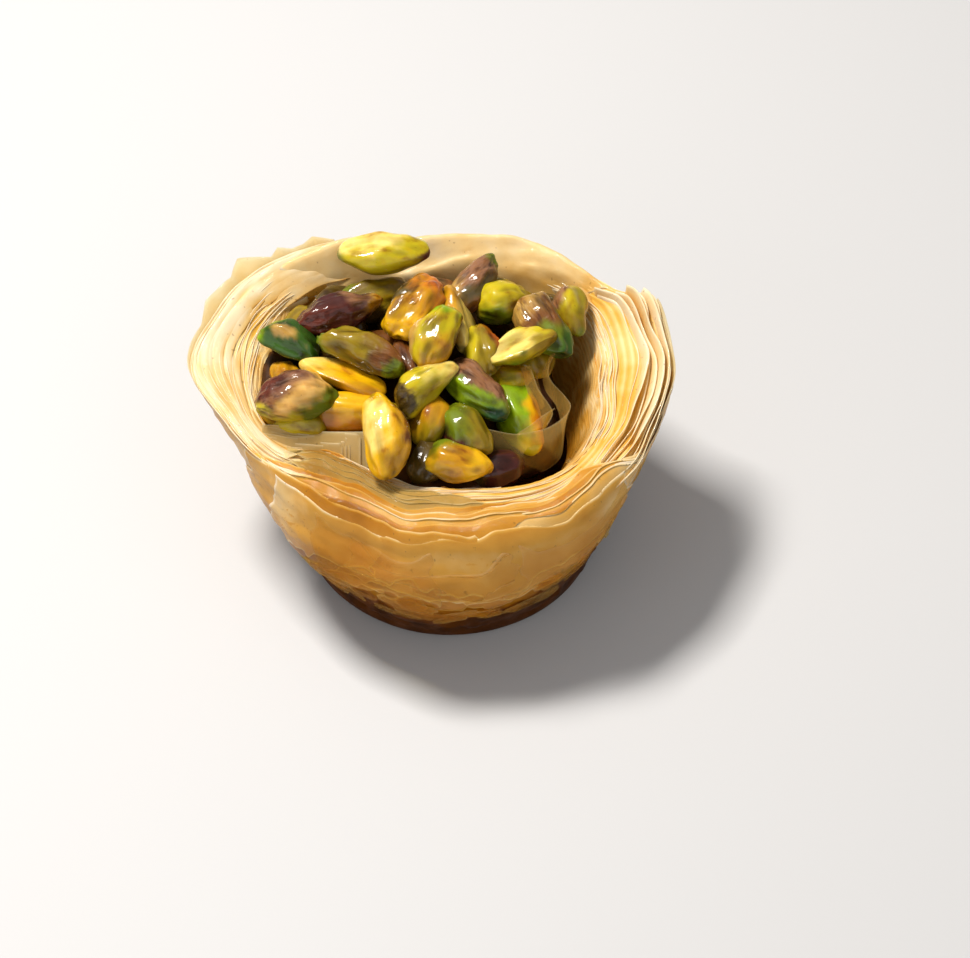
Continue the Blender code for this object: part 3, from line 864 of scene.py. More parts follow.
def flake(batch, number, angle, height, size, lean):
    """A torn scrap of thin filo stuck to the outer face; angle in degrees, the rest in mm."""
    turn = np.linspace(0, math.tau, 32, endpoint=False)[:, None]
    share = np.concatenate((np.linspace(0.04, 0.86, 5), (0.94, 1.0)))[None, :]
    ragged = 1 + 0.45 * rough(polar(turn, 1.0, number), 0.9, 4, 90)
    across = size * ragged * share * np.cos(turn)
    along = 0.55 * size * ragged * share * np.sin(turn)
    spot = np.radians(angle) + (across * math.cos(lean) - along * math.sin(lean)) * MM / FLAKE_RADIUS
    up = (height + across * math.sin(lean) + along * math.cos(lean)) * MM / LIP_HEIGHT
    points = outer_point(spot, up)
    lift = 0.45 + 0.45 * noise(points * (1, 1, 1.6), 13 * MM, 50)
    lift = lift + 0.22 * rough(points * (1, 1, 2), 4 * MM, 3, 91)
    lift = lift - 1.1 * smooth(1.0, -3.0, points[..., 2] / MM - caramel_line(spot))
    points = points + outward(points) * (lift * MM)[..., None]
    # Paler at its torn rim: painted highlight along the edge.
    bake = 0.62 - 0.24 * smooth(0.86, 1.0, share) + 0.2 * noise(points, 4 * MM, 92)
    batch.sheet(points, SHEET, bake, 0.5, loop=True)


def flakes(batch):
    """Scraps round the foot of the basket, more of them at the front."""
    rng = np.random.default_rng(11)
    for k in range(FLAKES):
        if k < FRONT_FLAKES:
            angle = rng.choice(FLAKE_SPOTS) + rng.normal(0, 10)
        else:
            angle = rng.uniform(0, 360)
        line = float(caramel_line(np.array(math.radians(angle))))
        height = line + rng.uniform(-7.0, 5.0)
        flake(batch, k, angle, height, rng.uniform(2.0, 6.5), rng.uniform(-0.5, 0.5))


def front_stack(batch):
    """Square-ended sheets that slope down in front of the kernels at the front left."""
    for k, end in enumerate(STACK_ENDS):
        along = np.linspace(0, 1, 70)[:, None]
        part = np.concatenate((np.linspace(0, 0.93, 16), (0.965, 0.985, 1.0)))[None, :]
        drop = (4.0 + 8.0 * smooth(0.1, 0.6, along)) * (1 - part)
        rounded = 0.7 * smooth(0.96, 1.0, along) * smooth(0.9, 1.0, part)
        x = STACK_START + (end - STACK_START) * along + 0 * part
        y = -5.6 - 0.40 * k - 1.4 * smooth(0.0, 0.5, along) + 0.2 * np.sin(8 * along + k)
        z = 37.6 - 0.34 * k - 0.5 * smooth(0.6, 1.0, along) + 0.15 * np.sin(6 * along + 2 * k)
        points = np.stack((x, y - 0.75 * drop, z - 0.75 * drop - rounded), -1) * MM
        edge = np.maximum(smooth(0.95, 1.0, part), smooth(0.975, 1.0, along))
        # Paler and less soaked along the top edge and the square end: painted highlight along the edges.
        batch.sheet(points, SHEET, 0.17 - 0.17 * edge, 0.3 - 0.3 * edge)


def inner_wall(batch):
    """Sheets that line the cavity, wrinkled into upright folds."""
    angle = np.radians(np.arange(0, 360, 1.25))[:, None]
    part = np.linspace(0, 1, 11)[None, :]
    spot = round_the_cup(angle, 0.0)
    low = 0.22 * smooth(0.2, 0.7, np.sin(angle))
    bake = GOLD + (AMBER - GOLD) * (1 - part) + 0.1 * noise(spot, 5 * MM, 39)
    for k in range(2):
        up = 0.2 + (0.74 - low + 0.03 * noise(spot, 9 * MM, 30 + k)) * part
        fold = 0.7 * noise(spot + part[..., None] * (0, 0, 9 * MM), 2.4 * MM, 33 + k)
        fold = (fold + 0.6 * noise(spot, 6 * MM, 36 + k)) * (0.4 + 0.6 * part)
        points = wall_point(angle, 0.012 + 0.03 * k, up) + polar(angle, 1.0, 0.0) * (fold * MM)[..., None]
        batch.sheet(points, SHEET, bake, 0.9, loop=True)


# Where the cut edges of many sheets step down into the cavity like grain in wood: start and end
# angle, share through the wall they reach in, how far down they go as a share of the wall's height,
# and the number of steps.
GRAIN = (
    (-52, 56, 0.50, 0.62, 15),
    (144, 200, 0.42, 0.14, 8),
)


def grain_wall(batch):
    for start, end, inward, drop, steps in GRAIN:
        angle = np.radians(np.arange(start, end, 0.83))[:, None]
        part = np.linspace(0, 1, int(5.6 * steps))[None, :]

        def streaks(depth, size, seed):
            return noise(round_the_cup(angle, part * depth), size, seed)

        step = (steps * part + 2.2 * streaks(12 * MM, 9 * MM, 80) + 0.8 * streaks(30 * MM, 3 * MM, 81)) % 1
        ridge = smooth(0.0, 0.7, step) * smooth(1.0, 0.85, step)
        through = 0.10 - inward * (0.4 + 0.6 * inside_ends(course(angle), 0.2)) * part ** 0.85
        up = rim_top(angle, 0.10) - 0.01 - drop * part ** 1.35 + 0.011 * ridge
        # Darker off the raised steps: painted shade between them; also darker further down.
        bake = 0.10 + 0.26 * part ** 2 + 0.10 * (1 - ridge) + 0.12 * streaks(20 * MM, 3 * MM, 82)
        batch.sheet(wall_point(angle, through, up), SHEET, bake, 0.35)


# The hooked strip between the kernels and the right-hand wall, and the narrow ones beside it. Each
# is a route of (x, y, z, half its height, how far its top leans out).
CURL_STRIPS = (
    ((7.2, -7.0, 35.2, 2.8, 0), (10.6, -7.8, 34.0, 3.9, 0), (13.5, -8.3, 32.6, 5.4, 0),
     (16.4, -7.6, 32.0, 6.0, 0.2), (19.3, -6.3, 31.5, 6.4, 0.4), (22.3, -3.7, 31.4, 6.4, 0.5),
     (23.2, -0.6, 33.4, 3.8, 0.6), (22.1, 1.7, 36.0, 1.7, 0.6), (19.5, 4.8, 37.8, 1.4, 0.7),
     (19.2, 7.4, 39.3, 1.3, 0.6), (20.8, 10.4, 41.4, 0.4, 0.2)),
    ((15.0, 6.8, 41.0, 0.4, 0.6), (16.5, 2.1, 38.9, 1.6, 0.8), (18.1, -0.5, 37.8, 1.8, 0.9),
     (19.4, -2.7, 36.6, 1.5, 0.7), (18.8, -4.4, 35.6, 0.8, 0.3)),
    ((13.5, -8.0, 37.8, 0.4, 0), (16.4, -5.5, 36.8, 1.3, 0.2), (18.9, -3.1, 36.2, 1.9, 0.3),
     (20.4, -1.6, 37.4, 0.6, 0.2)),
    ((16.4, 11.4, 39.8, 0.6, 0.5), (16.8, 7.0, 37.4, 1.0, 0.6), (17.6, 4.4, 35.8, 1.0, 0.6),
     (18.2, 1.6, 34.0, 1.0, 0.4)),
)


def ribbon(batch, _, *route):
    """A torn strip of filo along one of the routes."""
    knots = np.array(route, float)
    place = np.linspace(0, len(knots) - 1, 16 * len(knots))
    i = np.clip(place.astype(int), 0, len(knots) - 2)
    near = [knots[np.clip(i + step, 0, len(knots) - 1)] for step in (-1, 0, 1, 2)]
    x, y, z, half, lean = np.moveaxis(cubic(*near, (place - i)[:, None]), -1, 0)[..., None]
    part = np.concatenate(((-1, -0.96), np.linspace(-0.9, 0.9, 9), (0.96, 1)))[None, :]
    wave = 0.25 * np.sin(1.9 * place[:, None] + 1.5 * part)
    ragged = 1 + 0.09 * np.sin(3.1 * place[:, None] + 2) * (part < 0)
    points = np.stack((x + lean * part + wave, y + 0 * part, z + half * part * ragged), -1) * MM
    # Paler along its two long edges: painted highlight along the edges.
    batch.sheet(points, SHEET, 0.30 - 0.28 * smooth(0.9, 1.0, np.abs(part)), 0.3)


# ---------------------------------------------------------------- syrup

# Bubbles in the pit at the right: place and size.
BEADS = (
    ((24.0, -7.6, 28.8), 1.0),
    ((24.6, -9.6, 28.6), 0.7),
    ((23.4, -10.4, 28.2), 0.8),
    ((25.4, -5.8, 29.4), 0.6),
    ((22.6, -11.6, 28.0), 0.5),
)
# Where the bed of the heap dips: x and y.
SYRUP_DIPS = ((23, -3), (-22, -13))


def syrup_beads(batch):
    """Round beads of syrup, a little flattened."""
    around, along = 12, 7
    theta = np.linspace(0, math.tau, around, endpoint=False)[:, None]
    lat = np.linspace(0.02, math.pi - 0.02, along)[None, :]
    form = polar(theta, np.sin(lat), 0.6 * np.cos(lat))
    quads = grid_faces(closed_index(around, along).T)
    flat = np.zeros(around * along)
    for number, (place, size) in enumerate(BEADS):
        grown = size * (1 + 0.2 * math.sin(number))
        batch.add((np.array(place) + form * grown) * MM, quads, flat, flat)


def syrup_and_shade_bed(batch):
    """The bed of the heap, in dark syrup, seen only in the gaps between kernels; its darkness there is partly
    painted shade.
    """
    angle = np.linspace(0, math.tau, 96, endpoint=False)[:, None]
    share = np.linspace(0.04, 1.0, 24)[None, :]
    edge = wall_point(angle, 0.03, 0.80) * (1, 1, 0) - CAVITY_CENTRE
    edge = edge * (1 - 0.25 * smooth(0.3, 0.9, np.cos(angle + 0.15)))[..., None]
    place = CAVITY_CENTRE + edge * share[..., None]
    away = np.linalg.norm(place - CAVITY_CENTRE, axis=-1)
    dips = [np.exp(-(np.linalg.norm(place[..., :2] - np.array(spot) * MM, axis=-1) / (10 * MM)) ** 2)
            for spot in SYRUP_DIPS]
    height = 35.4 * MM - 0.10 * (place[..., 0] - CAVITY_CENTRE[0]) - 0.14 * away - 9 * MM * sum(dips)
    place[..., 2] = height + 0.6 * MM * noise(place, 5 * MM, 70)
    batch.sheet(place, 3 * MM, 0.0, 0.0, loop=True)


# ---------------------------------------------------------------- pistachio kernels

TONES = {
    "lime": (190, 172, 18), "bright": (132, 164, 10), "green": (102, 118, 14), "deep": (50, 86, 18),
    "teal": (34, 80, 44), "olive": (140, 118, 12), "dark_olive": (76, 58, 8), "yellow": (224, 172, 6),
    "orange": (200, 122, 12), "gold": (190, 138, 10), "cream": (236, 212, 118), "tan": (180, 142, 70),
    "brown": (114, 68, 24), "purple": (66, 27, 24), "maroon": (92, 34, 16), "pink": (140, 98, 70),
    "biscuit": (226, 178, 96), "red": (180, 92, 16), "grey": (88, 74, 38), "shade": (36, 25, 8),
}
SKIN_TONES = ("purple", "maroon", "brown", "pink", "grey", "dark_olive")
KERNEL_AROUND, KERNEL_ALONG = 56, 42
FLATS = 9


def facets(local, size, seed):
    """The points of an ellipsoid of this size, with soft flats pressed into its sides."""
    rng = np.random.default_rng(200 + seed)
    for _ in range(FLATS):
        direction = rng.normal(size=3) * (0.45, 1, 1)
        direction /= np.linalg.norm(direction)
        support = np.linalg.norm(direction * np.array(size) / 2)
        beyond = local @ direction - support * rng.uniform(0.74, 0.92)
        local = local - 0.8 * (0.22 * np.logaddexp(0, beyond / 0.22))[:, None] * direction
    return local


def kernel_form(size, cut, taper, bend, arch, blunt, seed):
    """A smooth kernel's points, x along it, from the one tip round its sides to the other."""
    length, width, thickness = size
    theta = np.linspace(0, math.tau, KERNEL_AROUND, endpoint=False)[None, :]
    u = np.sin(np.linspace(-math.pi / 2, math.pi / 2, KERNEL_ALONG + 2))[1:-1, None]
    girth = (1 - np.abs(u) ** blunt) ** 0.5 * (1 - taper * u)
    keel = np.exp(-(np.sin(theta) / 0.22) ** 2) * (np.cos(theta) < 0)
    side = np.cos(theta) * girth * (1 + 0.08 * keel) * (1 + 0.10 * np.sin(theta))
    thick = np.sin(theta) * girth
    if cut is not None:
        thick = cut - np.log1p(np.exp(np.clip((cut - thick) * 9, -30, 30))) / 9
        hollow = smooth(0.5, 0.0, np.abs(side)) * smooth(1.0, 0.6, np.abs(u)) * (thick > cut - 0.1)
        thick = thick - 0.08 * hollow
    sides = np.stack(np.broadcast_arrays(u * length / 2, side * width / 2, thick * thickness / 2), -1)
    tip = np.array(((length / 2, 0, 0),))
    local = 1.04 * facets(np.vstack((-tip, sides.reshape(-1, 3), tip)), size, seed)
    share = local[:, 0] / (length / 2)
    local[:, 1] += bend * (share ** 2 - 0.35)
    local[:, 2] += arch * (0.35 - share ** 2)
    return local


def kernel_relief(local, spot, size, wrinkle, groove):
    """A smooth kernel with its wrinkles, lumps and groove, and how deep each point lies in them."""
    share = local[:, 0] / (size[0] / 2)
    ridges = 0.5 - 1.6 * np.abs(noise(spot * (0.35, 1, 1), 1.7, 3))
    creases = 0.4 - 1.5 * np.abs(noise(spot * (0.45, 1, 1), 4.2, 8))
    lumps = 0.5 * noise(spot, 6.5, 4) + 0.45 * noise(spot, 2.8, 6) + 0.55 * creases
    relief = wrinkle * (ridges + 0.5 * noise(spot * (0.5, 1, 1), 1.0, 5)) + 0.5 * lumps
    normal = local / np.array(size) ** 2
    normal /= np.maximum(np.linalg.norm(normal, axis=1, keepdims=True), 1e-9)
    local = local + normal * relief[:, None]
    if groove:
        across = local[:, 1] / (size[1] / 2) - 0.2 * share
        local = local - normal * (groove * np.exp(-(across / 0.16) ** 2) * (local[:, 2] > 0))[:, None]
    # How deep each point lies in the ridges and creases; kernel() darkens the colour by it as painted shade.
    hollow = smooth(0.1, -0.8, ridges) * (0.3 + wrinkle) + 0.35 * smooth(0.0, -0.9, creases)
    return local, np.clip(hollow, 0, 1)


def kernel_colours(arm, spot, layers):
    """The colour of each point and how much of its skin is wrinkled."""
    colour = np.tile(srgb(*TONES[layers[0]])[:3], (len(arm), 1))
    worn = 0.30 * rough(spot, 3.4, 4, 11)
    skin = np.full(len(arm), 0.08)
    for tone, direction, low, high in layers[1:]:
        heights = arm @ (np.array(direction, float) / np.linalg.norm(direction))
        cover = smooth(low, high, heights / np.abs(heights).max() + worn)
        colour = colour + (np.array(srgb(*TONES[tone])[:3]) - colour) * cover[:, None]
        if tone in SKIN_TONES:
            skin = np.maximum(skin, cover)
    return colour, skin


def kernel(place, turn, size, layers, cut=None, taper=0.18, bend=0.8, arch=0.6, blunt=2.0, wrinkle=0.25,
           groove=0.0, seed=1):
    """A kernel's points, colours, skin (how wrinkled it is) and grain (places on its smooth form).

    place in mm; heading, pitch and roll in degrees; length, width and thickness in mm. layers are a
    ground tone and then (tone, direction, from, to) in the row's directions, where -1 to 1 spans the
    kernel along that direction. cut is the height of a split face as a share of the thickness."""
    smooth_form = kernel_form(size, cut, taper, bend, arch, blunt, seed)
    spot = smooth_form + seed * 31.7
    local, hollow = kernel_relief(smooth_form, spot, size, wrinkle, groove)
    heading, pitch, roll = turn
    turned = Euler((math.radians(roll), math.radians(-pitch), math.radians(heading)), "XYZ").to_matrix()
    arm = local @ np.array(turned).T
    colour, skin = kernel_colours(arm, spot, layers)
    # The colour is darkened by how deep each point lies in the wrinkles and creases: painted shade.
    return (arm + place) * MM, colour * (1 - 0.75 * hollow)[:, None], skin, spot


def kernel_faces():
    """The quads between a kernel's rings and a fan at each tip."""
    index = 1 + np.arange(KERNEL_ALONG * KERNEL_AROUND).reshape(KERNEL_ALONG, KERNEL_AROUND)
    index = np.hstack((index, index[:, :1]))
    tips = fan(index[0, ::-1], 0) + fan(index[-1], int(index.max()) + 1)
    return grid_faces(index.T).tolist() + tips


LEFT, RIGHT, FRONT, TOP, LOW = (-1, 0, 0), (1, 0, 0), (0, -1, 0), (0, 0, 1), (0, 0, -1)

# The kernels that show, from the back left to the front right.
KERNELS = (
    dict(place=(-15.5, 27.0, 39.0), turn=(24, 0, 20), size=(16.0, 8.5, 8.0), wrinkle=0.2,
         layers=("olive", ("green", LEFT, 0.2, 0.7), ("dark_olive", FRONT, 0.2, 0.8))),
    dict(place=(-22.0, 19.6, 43.0), turn=(18, 4, 0), size=(18.0, 8.0, 7.6), wrinkle=0.45,
         layers=("purple", ("maroon", FRONT, 0.0, 0.7), ("pink", (0.9, 0.2, 0.7), 0.35, 0.75),
                 ("tan", (1, -0.1, 0), 0.5, 0.8), ("gold", (1, -0.6, -0.3), 0.6, 0.85))),
    dict(place=(-7.0, 18.6, 45.5), turn=(58, 8, 0), size=(16.5, 10.2, 9.2), wrinkle=0.4, groove=0.4,
         layers=("gold", ("yellow", (-0.6, -1, -0.6), 0.0, 0.6), ("grey", (-0.6, 0.5, 0.9), 0.5, 0.68),
                 ("orange", (0.7, 0.5, 0.4), 0.1, 0.7), ("red", (0.9, 0.5, 0.0), 0.6, 0.95))),
    dict(place=(4.2, 28.0, 42.0), turn=(46, 18, 0), size=(16.0, 8.0, 7.6), wrinkle=0.4,
         layers=("grey", ("pink", (0.0, 0.3, 1), 0.1, 0.5), ("green", (0.6, 0.8, 0), 0.55, 0.85),
                 ("tan", (-1, -0.6, 0.2), 0.3, 0.8), ("brown", (0.2, -0.6, -0.6), 0.3, 0.8))),
    dict(place=(1.9, 18.0, 43.0), turn=(102, 10, 60), size=(15.0, 8.6, 7.6), cut=0.35,
         layers=("gold", ("cream", RIGHT, -0.3, 0.4), ("olive", LOW, 0.3, 0.9))),
    dict(place=(-2.8, 9.4, 46.0), turn=(248, -12, 0), size=(14.0, 10.0, 9.4), taper=0.3, wrinkle=0.3,
         layers=("lime", ("bright", (0.2, 1, 0.2), 0.55, 0.9), ("tan", (-1, 0.2, 0), 0.4, 0.9),
                 ("gold", (0.3, -1, 0), 0.1, 0.8), ("brown", (1, 0, -0.5), 0.55, 0.9))),
    dict(place=(-31.5, 13.6, 41.0), turn=(149, 6, 0), size=(12.6, 8.2, 7.8), taper=-0.25, blunt=3.0,
         layers=("deep", ("bright", (-1, 0.6, 0.2), 0.55, 0.9), ("tan", (-0.2, -0.3, 1), 0.62, 0.95))),
    dict(place=(-17.2, 8.6, 43.5), turn=(157, 4, 40), size=(18.4, 8.6, 8.0), wrinkle=0.45, groove=0.6,
         layers=("olive", ("dark_olive", (0.3, -1, 0), 0.1, 0.7), ("brown", (1, 0.2, 0.2), 0.2, 0.7),
                 ("green", (-1, 0, -0.3), 0.45, 0.9), ("green", (1, -0.6, -0.6), 0.75, 0.95))),
    dict(place=(-20.8, 4.6, 41.0), turn=(158, 3, 14), size=(18.0, 7.8, 6.6), cut=0.25, wrinkle=0.12,
         layers=("yellow", ("cream", (-0.3, 0.6, 1), 0.2, 1.0), ("gold", FRONT, 0.3, 0.8),
                 ("orange", (0.5, -1, -0.5), 0.7, 1.0))),
    dict(place=(-29.6, -2.0, 41.4), turn=(190, 4, 0), size=(16.2, 11.0, 9.4), wrinkle=0.35,
         layers=("biscuit", ("green", (1, -0.7, -0.7), 0.05, 0.5), ("brown", (-1, 0.5, 0.5), 0.05, 0.5),
                 ("pink", (-0.3, 0.4, 1), 0.35, 0.75), ("maroon", (-0.5, 0.5, 1), 0.7, 1.0),
                 ("lime", (-0.2, -1, -0.5), 0.6, 0.9))),
    dict(place=(-32.4, -1.6, 36.0), turn=(155, 0, 0), size=(9.5, 7.5, 7.2), wrinkle=0.15,
         layers=("olive", ("lime", (-1, 0.2, 0.5), 0.2, 0.8))),
    dict(place=(-29.0, -4.2, 36.4), turn=(175, 0, 0), size=(11.0, 7.2, 6.8), wrinkle=0.15,
         layers=("lime", ("olive", RIGHT, 0.1, 0.8))),
    dict(place=(-18.6, -2.4, 37.6), turn=(2, 0, 0), size=(15.6, 8.6, 8.0), blunt=3.2, wrinkle=0.1,
         layers=("gold", ("yellow", TOP, 0.4, 0.9), ("orange", (-0.3, -1, -0.6), 0.2, 0.9))),
    dict(place=(-11.8, -12.2, 42.0), turn=(-80, -16, 8), size=(18.6, 9.2, 7.4), wrinkle=0.3, bend=-1.3,
         taper=-0.12, groove=0.3,
         layers=("gold", ("yellow", (-1, 0, 0.4), -0.5, 0.2), ("cream", (-0.5, -0.1, 1), 0.6, 1.0),
                 ("brown", (1, 0.4, 0.25), 0.40, 0.75))),
    dict(place=(-4.3, 0.0, 43.0), turn=(43, 10, 0), size=(14.4, 7.8, 7.4), blunt=3.0, wrinkle=0.25, bend=-1.0,
         layers=("lime", ("cream", (0.8, 0.6, 0.6), 0.1, 0.7), ("dark_olive", (-1, -0.9, -0.2), 0.60, 0.75))),
    dict(place=(5.3, 1.4, 40.0), turn=(-48, -6, 0), size=(16.8, 9.0, 8.4), wrinkle=0.4,
         layers=("green", ("bright", TOP, 0.0, 0.6), ("deep", FRONT, 0.55, 1.0),
                 ("pink", (0.6, 0.6, 0.9), 0.15, 0.4), ("brown", (1, 0.3, 0.2), 0.65, 0.9),
                 ("teal", (0.8, -1, -0.5), 0.6, 0.9))),
    dict(place=(13.6, 0.3, 33.4), turn=(-72, -8, 0), size=(18.6, 9.2, 8.4), wrinkle=0.2, bend=1.2,
         layers=("bright", ("deep", (0, 1, 0.1), 0.6, 0.95), ("lime", (0.5, -1, 0.1), 0.45, 0.8),
                 ("yellow", (1, 0.1, 0.2), 0.45, 0.8), ("orange", (1, 0.0, 0.1), 0.7, 0.95))),
    dict(place=(6.6, 10.8, 41.0), turn=(98, 10, 0), size=(12.4, 7.6, 7.2), wrinkle=0.25, groove=0.5,
         layers=("olive", ("lime", LEFT, 0.0, 0.7), ("red", (1, 0.4, 0.2), 0.35, 0.8))),
    dict(place=(14.2, 10.4, 43.2), turn=(212, -6, 15), size=(14.0, 9.0, 8.0), cut=0.3, taper=0.3, wrinkle=0.2,
         layers=("lime", ("cream", (-0.4, 0.2, 1), 0.1, 0.5), ("olive", (0.9, -0.2, 0.1), 0.35, 0.8),
                 ("green", (0.3, -1, -0.7), 0.5, 0.9))),
    dict(place=(18.6, 17.2, 42.0), turn=(-62, -4, 20), size=(17.6, 9.0, 8.2), wrinkle=0.4,
         layers=("green", ("brown", (-0.6, 0.1, 1), 0.0, 0.4), ("tan", (-0.8, 0.6, 0.5), 0.0, 0.6),
                 ("deep", (1, -0.4, -0.3), 0.4, 0.9))),
    dict(place=(11.0, 24.6, 40.6), turn=(25, 0, 0), size=(11.6, 9.2, 8.8), wrinkle=0.45,
         layers=("olive", ("lime", TOP, 0.2, 0.8), ("green", (0.2, -1, -0.5), 0.3, 0.8))),
    dict(place=(24.0, 21.8, 40.4), turn=(-80, 0, 0), size=(12.0, 8.2, 7.8), wrinkle=0.12,
         layers=("olive", ("lime", (0.4, 0.3, 1), 0.4, 1.0), ("pink", (-1, 0.6, 0.4), 0.5, 0.75),
                 ("green", (0, -1, -0.6), 0.6, 0.95))),
    dict(place=(-3.4, -4.6, 37.6), turn=(70, 20, 0), size=(11.0, 8.2, 7.8), wrinkle=0.1,
         layers=("gold", ("olive", (0.2, -1, -0.6), -0.1, 0.6), ("dark_olive", LOW, 0.4, 0.9))),
    dict(place=(3.4, -7.6, 37.4), turn=(-52, -10, 0), size=(12.8, 8.6, 8.0), wrinkle=0.3,
         layers=("green", ("olive", RIGHT, -0.3, 0.5), ("purple", (-1, -0.9, -0.4), 0.45, 0.75),
                 ("maroon", (-0.6, -1, 0), 0.6, 0.9))),
    dict(place=(1.2, -14.4, 36.4), turn=(-14, 0, 0), size=(14.4, 8.2, 7.4), wrinkle=0.3,
         layers=("gold", ("green", (-0.3, 1, 0.5), 0.1, 0.6), ("yellow", (0.9, -0.3, 0.3), 0.5, 0.85),
                 ("olive", (-1, -0.2, 0.2), 0.3, 0.8))),
    dict(place=(-7.4, 8.2, 40.2), turn=(-74, 0, 0), size=(14.0, 7.8, 7.4),
         layers=("dark_olive", ("brown", TOP, 0.2, 0.8))),
    dict(place=(12.4, 7.6, 37.0), turn=(10, 0, 0), size=(9.4, 6.4, 6.0), wrinkle=0.15,
         layers=("gold", ("lime", FRONT, 0.2, 0.8))),
    dict(place=(9.4, -12.2, 32.0), turn=(20, 0, 0), size=(11.0, 7.6, 7.0),
         layers=("purple", ("dark_olive", LEFT, 0.2, 0.8))),
)
# Kernels underneath, of which little shows: place, heading, size and ground tone.
LOWER_KERNELS = (
    ((-21.5, 17.5, 37.0), 60, (15.0, 8.4, 8.0), "dark_olive"),
    ((-11.5, -5.4, 36.4), 100, (13.0, 8.6, 8.0), "olive"),
    ((-7.0, 21.0, 38.5), 10, (15.0, 8.6, 8.0), "dark_olive"),
    ((15.5, 14.0, 37.0), 120, (14.0, 8.6, 8.0), "olive"),
    ((-3.0, 30.5, 37.0), 5, (13.0, 7.6, 7.4), "brown"),
    ((11.0, 30.0, 36.6), -20, (13.0, 7.6, 7.4), "olive"),
    ((20.0, 25.6, 36.6), -45, (12.0, 7.6, 7.4), "dark_olive"),
    ((-3.6, -10.6, 34.4), 80, (13.0, 8.0, 7.4), "dark_olive"),
    ((-26.0, 3.0, 36.0), 100, (12.0, 7.6, 7.0), "olive"),
    ((-32.2, 7.0, 35.6), 108, (12.5, 7.6, 7.0), "gold"),
    ((-31.0, 20.6, 36.4), 62, (13.5, 8.0, 7.2), "olive"),
    ((-24.0, 27.0, 37.2), 34, (13.0, 7.6, 7.2), "dark_olive"),
    ((-14.0, 13.4, 37.6), 140, (14.0, 8.0, 7.4), "brown"),
)
RIM_KERNEL = dict(place=(-13.2, 33.0, 46.0), turn=(4, 0, 0), size=(19.0, 8.6, 8.2), wrinkle=0.08, arch=0.9,
                  layers=("lime", ("green", LEFT, 0.6, 1.0), ("cream", (-0.2, 0.3, 1), 0.4, 0.8),
                          ("maroon", (0.8, -0.4, -1), 0.62, 0.82)))


def kernels(name, specs, look):
    """Kernels joined into one mesh, with their colours, skin and grain."""
    points, colours, skins, grains = zip(*(kernel(seed=k + 1, **spec) for k, spec in enumerate(specs)))
    count, shared = len(points[0]), kernel_faces()
    faces = [tuple(i + k * count for i in face) for k in range(len(specs)) for face in shared]
    made = mesh_object(name, np.vstack(points), faces, look)
    colours = np.vstack(colours)
    tint = np.hstack((colours, np.ones((len(colours), 1))))
    store(made, "tint", tint, "FLOAT_COLOR", "color")
    store(made, "skin", np.concatenate(skins))
    store(made, "grain", np.vstack(grains), "FLOAT_VECTOR", "vector")
    return made


# ---------------------------------------------------------------- the pieces

FILO = filo_material("filo", FILO_TONES, 0.38)
FILM = filo_material("filo_film", FILM_TONES, 0.5, 0.78)
DENSE_FILM = filo_material("filo_dense_film", FILM_TONES, 0.5, 0.25)
TORN = filo_material("filo_torn", FILO_TONES, 0.6, 0.3)
SCRAP = filo_material("filo_scrap", SCRAP_TONES, 0.3, 0.8)
CARAMEL = filo_material("filo_caramel", FILO_TONES, 0.2, gloss=0.12)
NUT = kernel_material("pistachio")


def each(make, rows, first=0, **extra):
    """A maker that makes every row of a table, numbered from first, dealt out among the batches."""
    def fill(*batches):
        for k, row in enumerate(rows):
            make(batches[k % len(batches)], first + k, *row, **extra)
    return fill


# The pieces made of thin sheets: their names, what makes them and their material.
SHEET_PIECES = (
    (("filo_rim_inner", "filo_rim_outer"), long_rim, FILO),
    (("filo_leaves",), right_leaves, FILO),
    (("filo_corners",), outermost, TORN),
    (("filo_cavity",), inner_wall, FILO),
    (("filo_grain",), grain_wall, FILO),
    (("filo_stack",), front_stack, DENSE_FILM),
    (("filo_folds",), each(rim_fold, FOLDS), FILO),
    (("filo_back",), each(drape, CAPS, 60, tuck=1.4), FILO),
    (("filo_front_films",), each(drape, FRONT_FILMS, 40, tuck=1.7), DENSE_FILM),
    (("filo_patches",), each(drape, PATCHES, 50, pale=0.12), SCRAP),
    (("filo_flakes",), flakes, SCRAP),
    (("filo_drapes_even", "filo_drapes_odd"), each(drape, DRAPES), FILO),
)


def ride(piece, slot, *nodes):
    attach(piece, "root")
    if nodes:
        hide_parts(*nodes)


def sheet_pieces(names, make, look, slot, *nodes):
    """Makes pieces out of what a maker adds to their batches.

    It deals its sheets out between two pieces where one would grow too large."""
    batches = [Batch() for _ in names]
    make(*batches)
    for name, batch in zip(names, batches):
        ride(batch.build(name, look), slot, *nodes)


def pastry():
    ride(body(), "filo", "filo_basket")
    for row in SHEET_PIECES:
        sheet_pieces(*row, "filo")
    sheet_pieces(("filo_curls",), each(ribbon, CURL_STRIPS), FILM, "filo_curl", "filo_curl")


def nuts():
    lower = [dict(place=place, turn=(heading, 0, 0), size=size, layers=(tone, ("shade", LOW, 0.0, 0.8)))
             for place, heading, size, tone in LOWER_KERNELS]
    ride(kernels("pistachios", (*KERNELS, *lower), NUT), "pistachio", "pistachio_heap")
    ride(kernels("rim_pistachio_kernel", (RIM_KERNEL,), NUT), "rim_pistachio", "rim_pistachio")
    sheet_pieces(("syrup_and_shade_bed",), syrup_and_shade_bed, syrup_and_shade_material(), "pistachio")
    sheet_pieces(("syrup_beads",), syrup_beads, droplet_material(), "pistachio")


# ---------------------------------------------------------------- stage

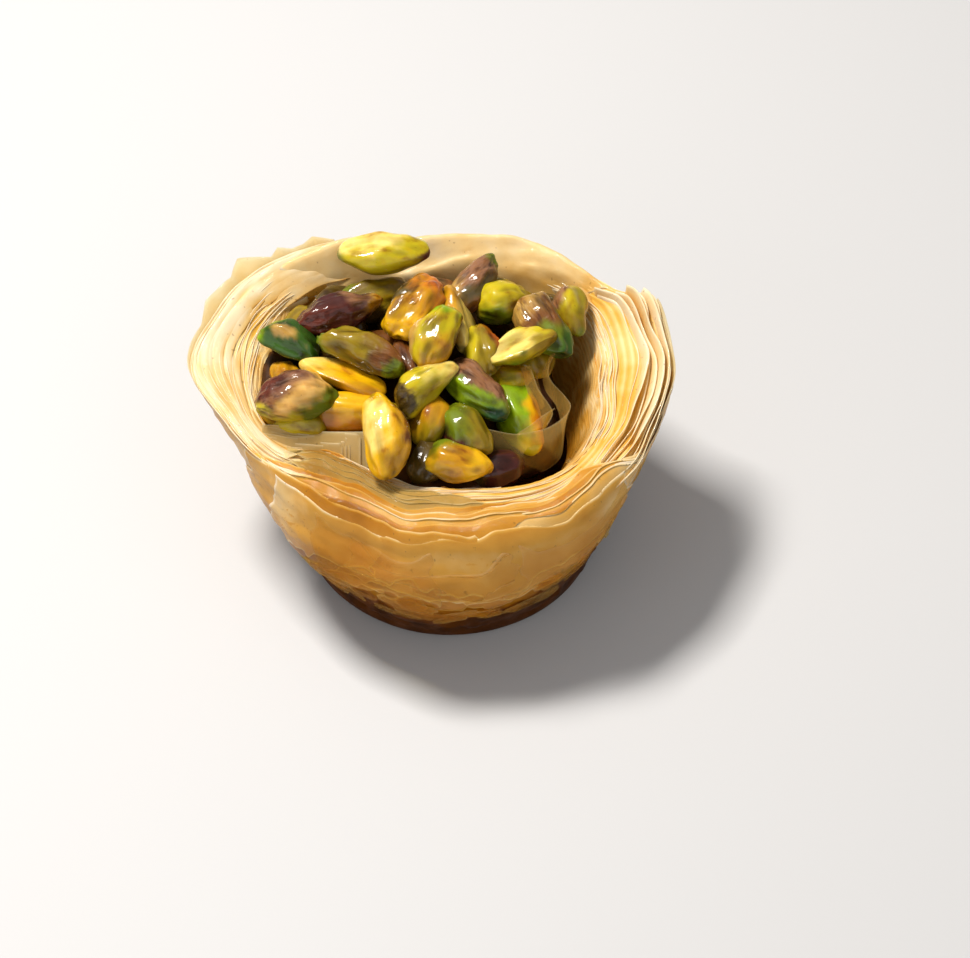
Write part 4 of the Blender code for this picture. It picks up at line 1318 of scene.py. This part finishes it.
VIEW_ELEVATION = 50.0
VIEW_DISTANCE = 0.559
VIEW_TARGET = Vector((7.05, 7.15, 6.0)) * MM
FLOOR_SIZE = 3.0
FLOOR_GAP = 0.05 * MM
# Softboxes: name, place and size in metres, power in watts and colour.
LIGHTS = (
    ("key", (-0.30, 0.22, 0.76), (0.24, 0.16), 10.0, (1.0, 0.96, 0.90)),
    ("fill", (0.5, -0.6, 0.6), (1.0, 1.0), 1.8, (1, 1, 1)),
    ("front", (-0.5, -0.7, 0.35), (1.0, 0.6), 1.95, (1, 1, 1)),
)
LIGHTS_TARGET = Vector((0, 0, 0.03))


def aim(thing, place, target):
    thing.location = place
    thing.rotation_euler = (target - place).to_track_quat("-Z", "Y").to_euler()


def camera():
    data = bpy.data.cameras.new("camera")
    data.lens = 100.0
    data.sensor_width = 36.0
    made = show("camera", data)
    slope = math.radians(VIEW_ELEVATION)
    offset = Vector((0, -math.cos(slope), math.sin(slope))) * VIEW_DISTANCE
    aim(made, VIEW_TARGET + offset, VIEW_TARGET)
    bpy.context.scene.camera = made


def softbox(name, place, size, power, colour):
    data = bpy.data.lights.new(name, "AREA")
    data.shape = "RECTANGLE"
    data.size, data.size_y = size
    data.energy = power
    data.color = colour
    aim(show(name, data), Vector(place), LIGHTS_TARGET)


def floor():
    corners = [(-FLOOR_SIZE, -FLOOR_SIZE, 0), (FLOOR_SIZE, -FLOOR_SIZE, 0),
               (FLOOR_SIZE, FLOOR_SIZE, 0), (-FLOOR_SIZE, FLOOR_SIZE, 0)]
    made = mesh_object("floor", corners, [(0, 1, 2, 3)], floor_material())
    made.location.z = -FLOOR_GAP


def stage():
    floor()
    for row in LIGHTS:
        softbox(*row)
    world = bpy.data.worlds.new("world")
    bpy.context.scene.world = world
    world.use_nodes = True
    background = world.node_tree.nodes["Background"]
    background.inputs["Color"].default_value = (1.0, 0.98, 0.95, 1)
    background.inputs["Strength"].default_value = 0.26
    bpy.context.scene.view_settings.view_transform = "Standard"


pastry()
nuts()
camera()
stage()
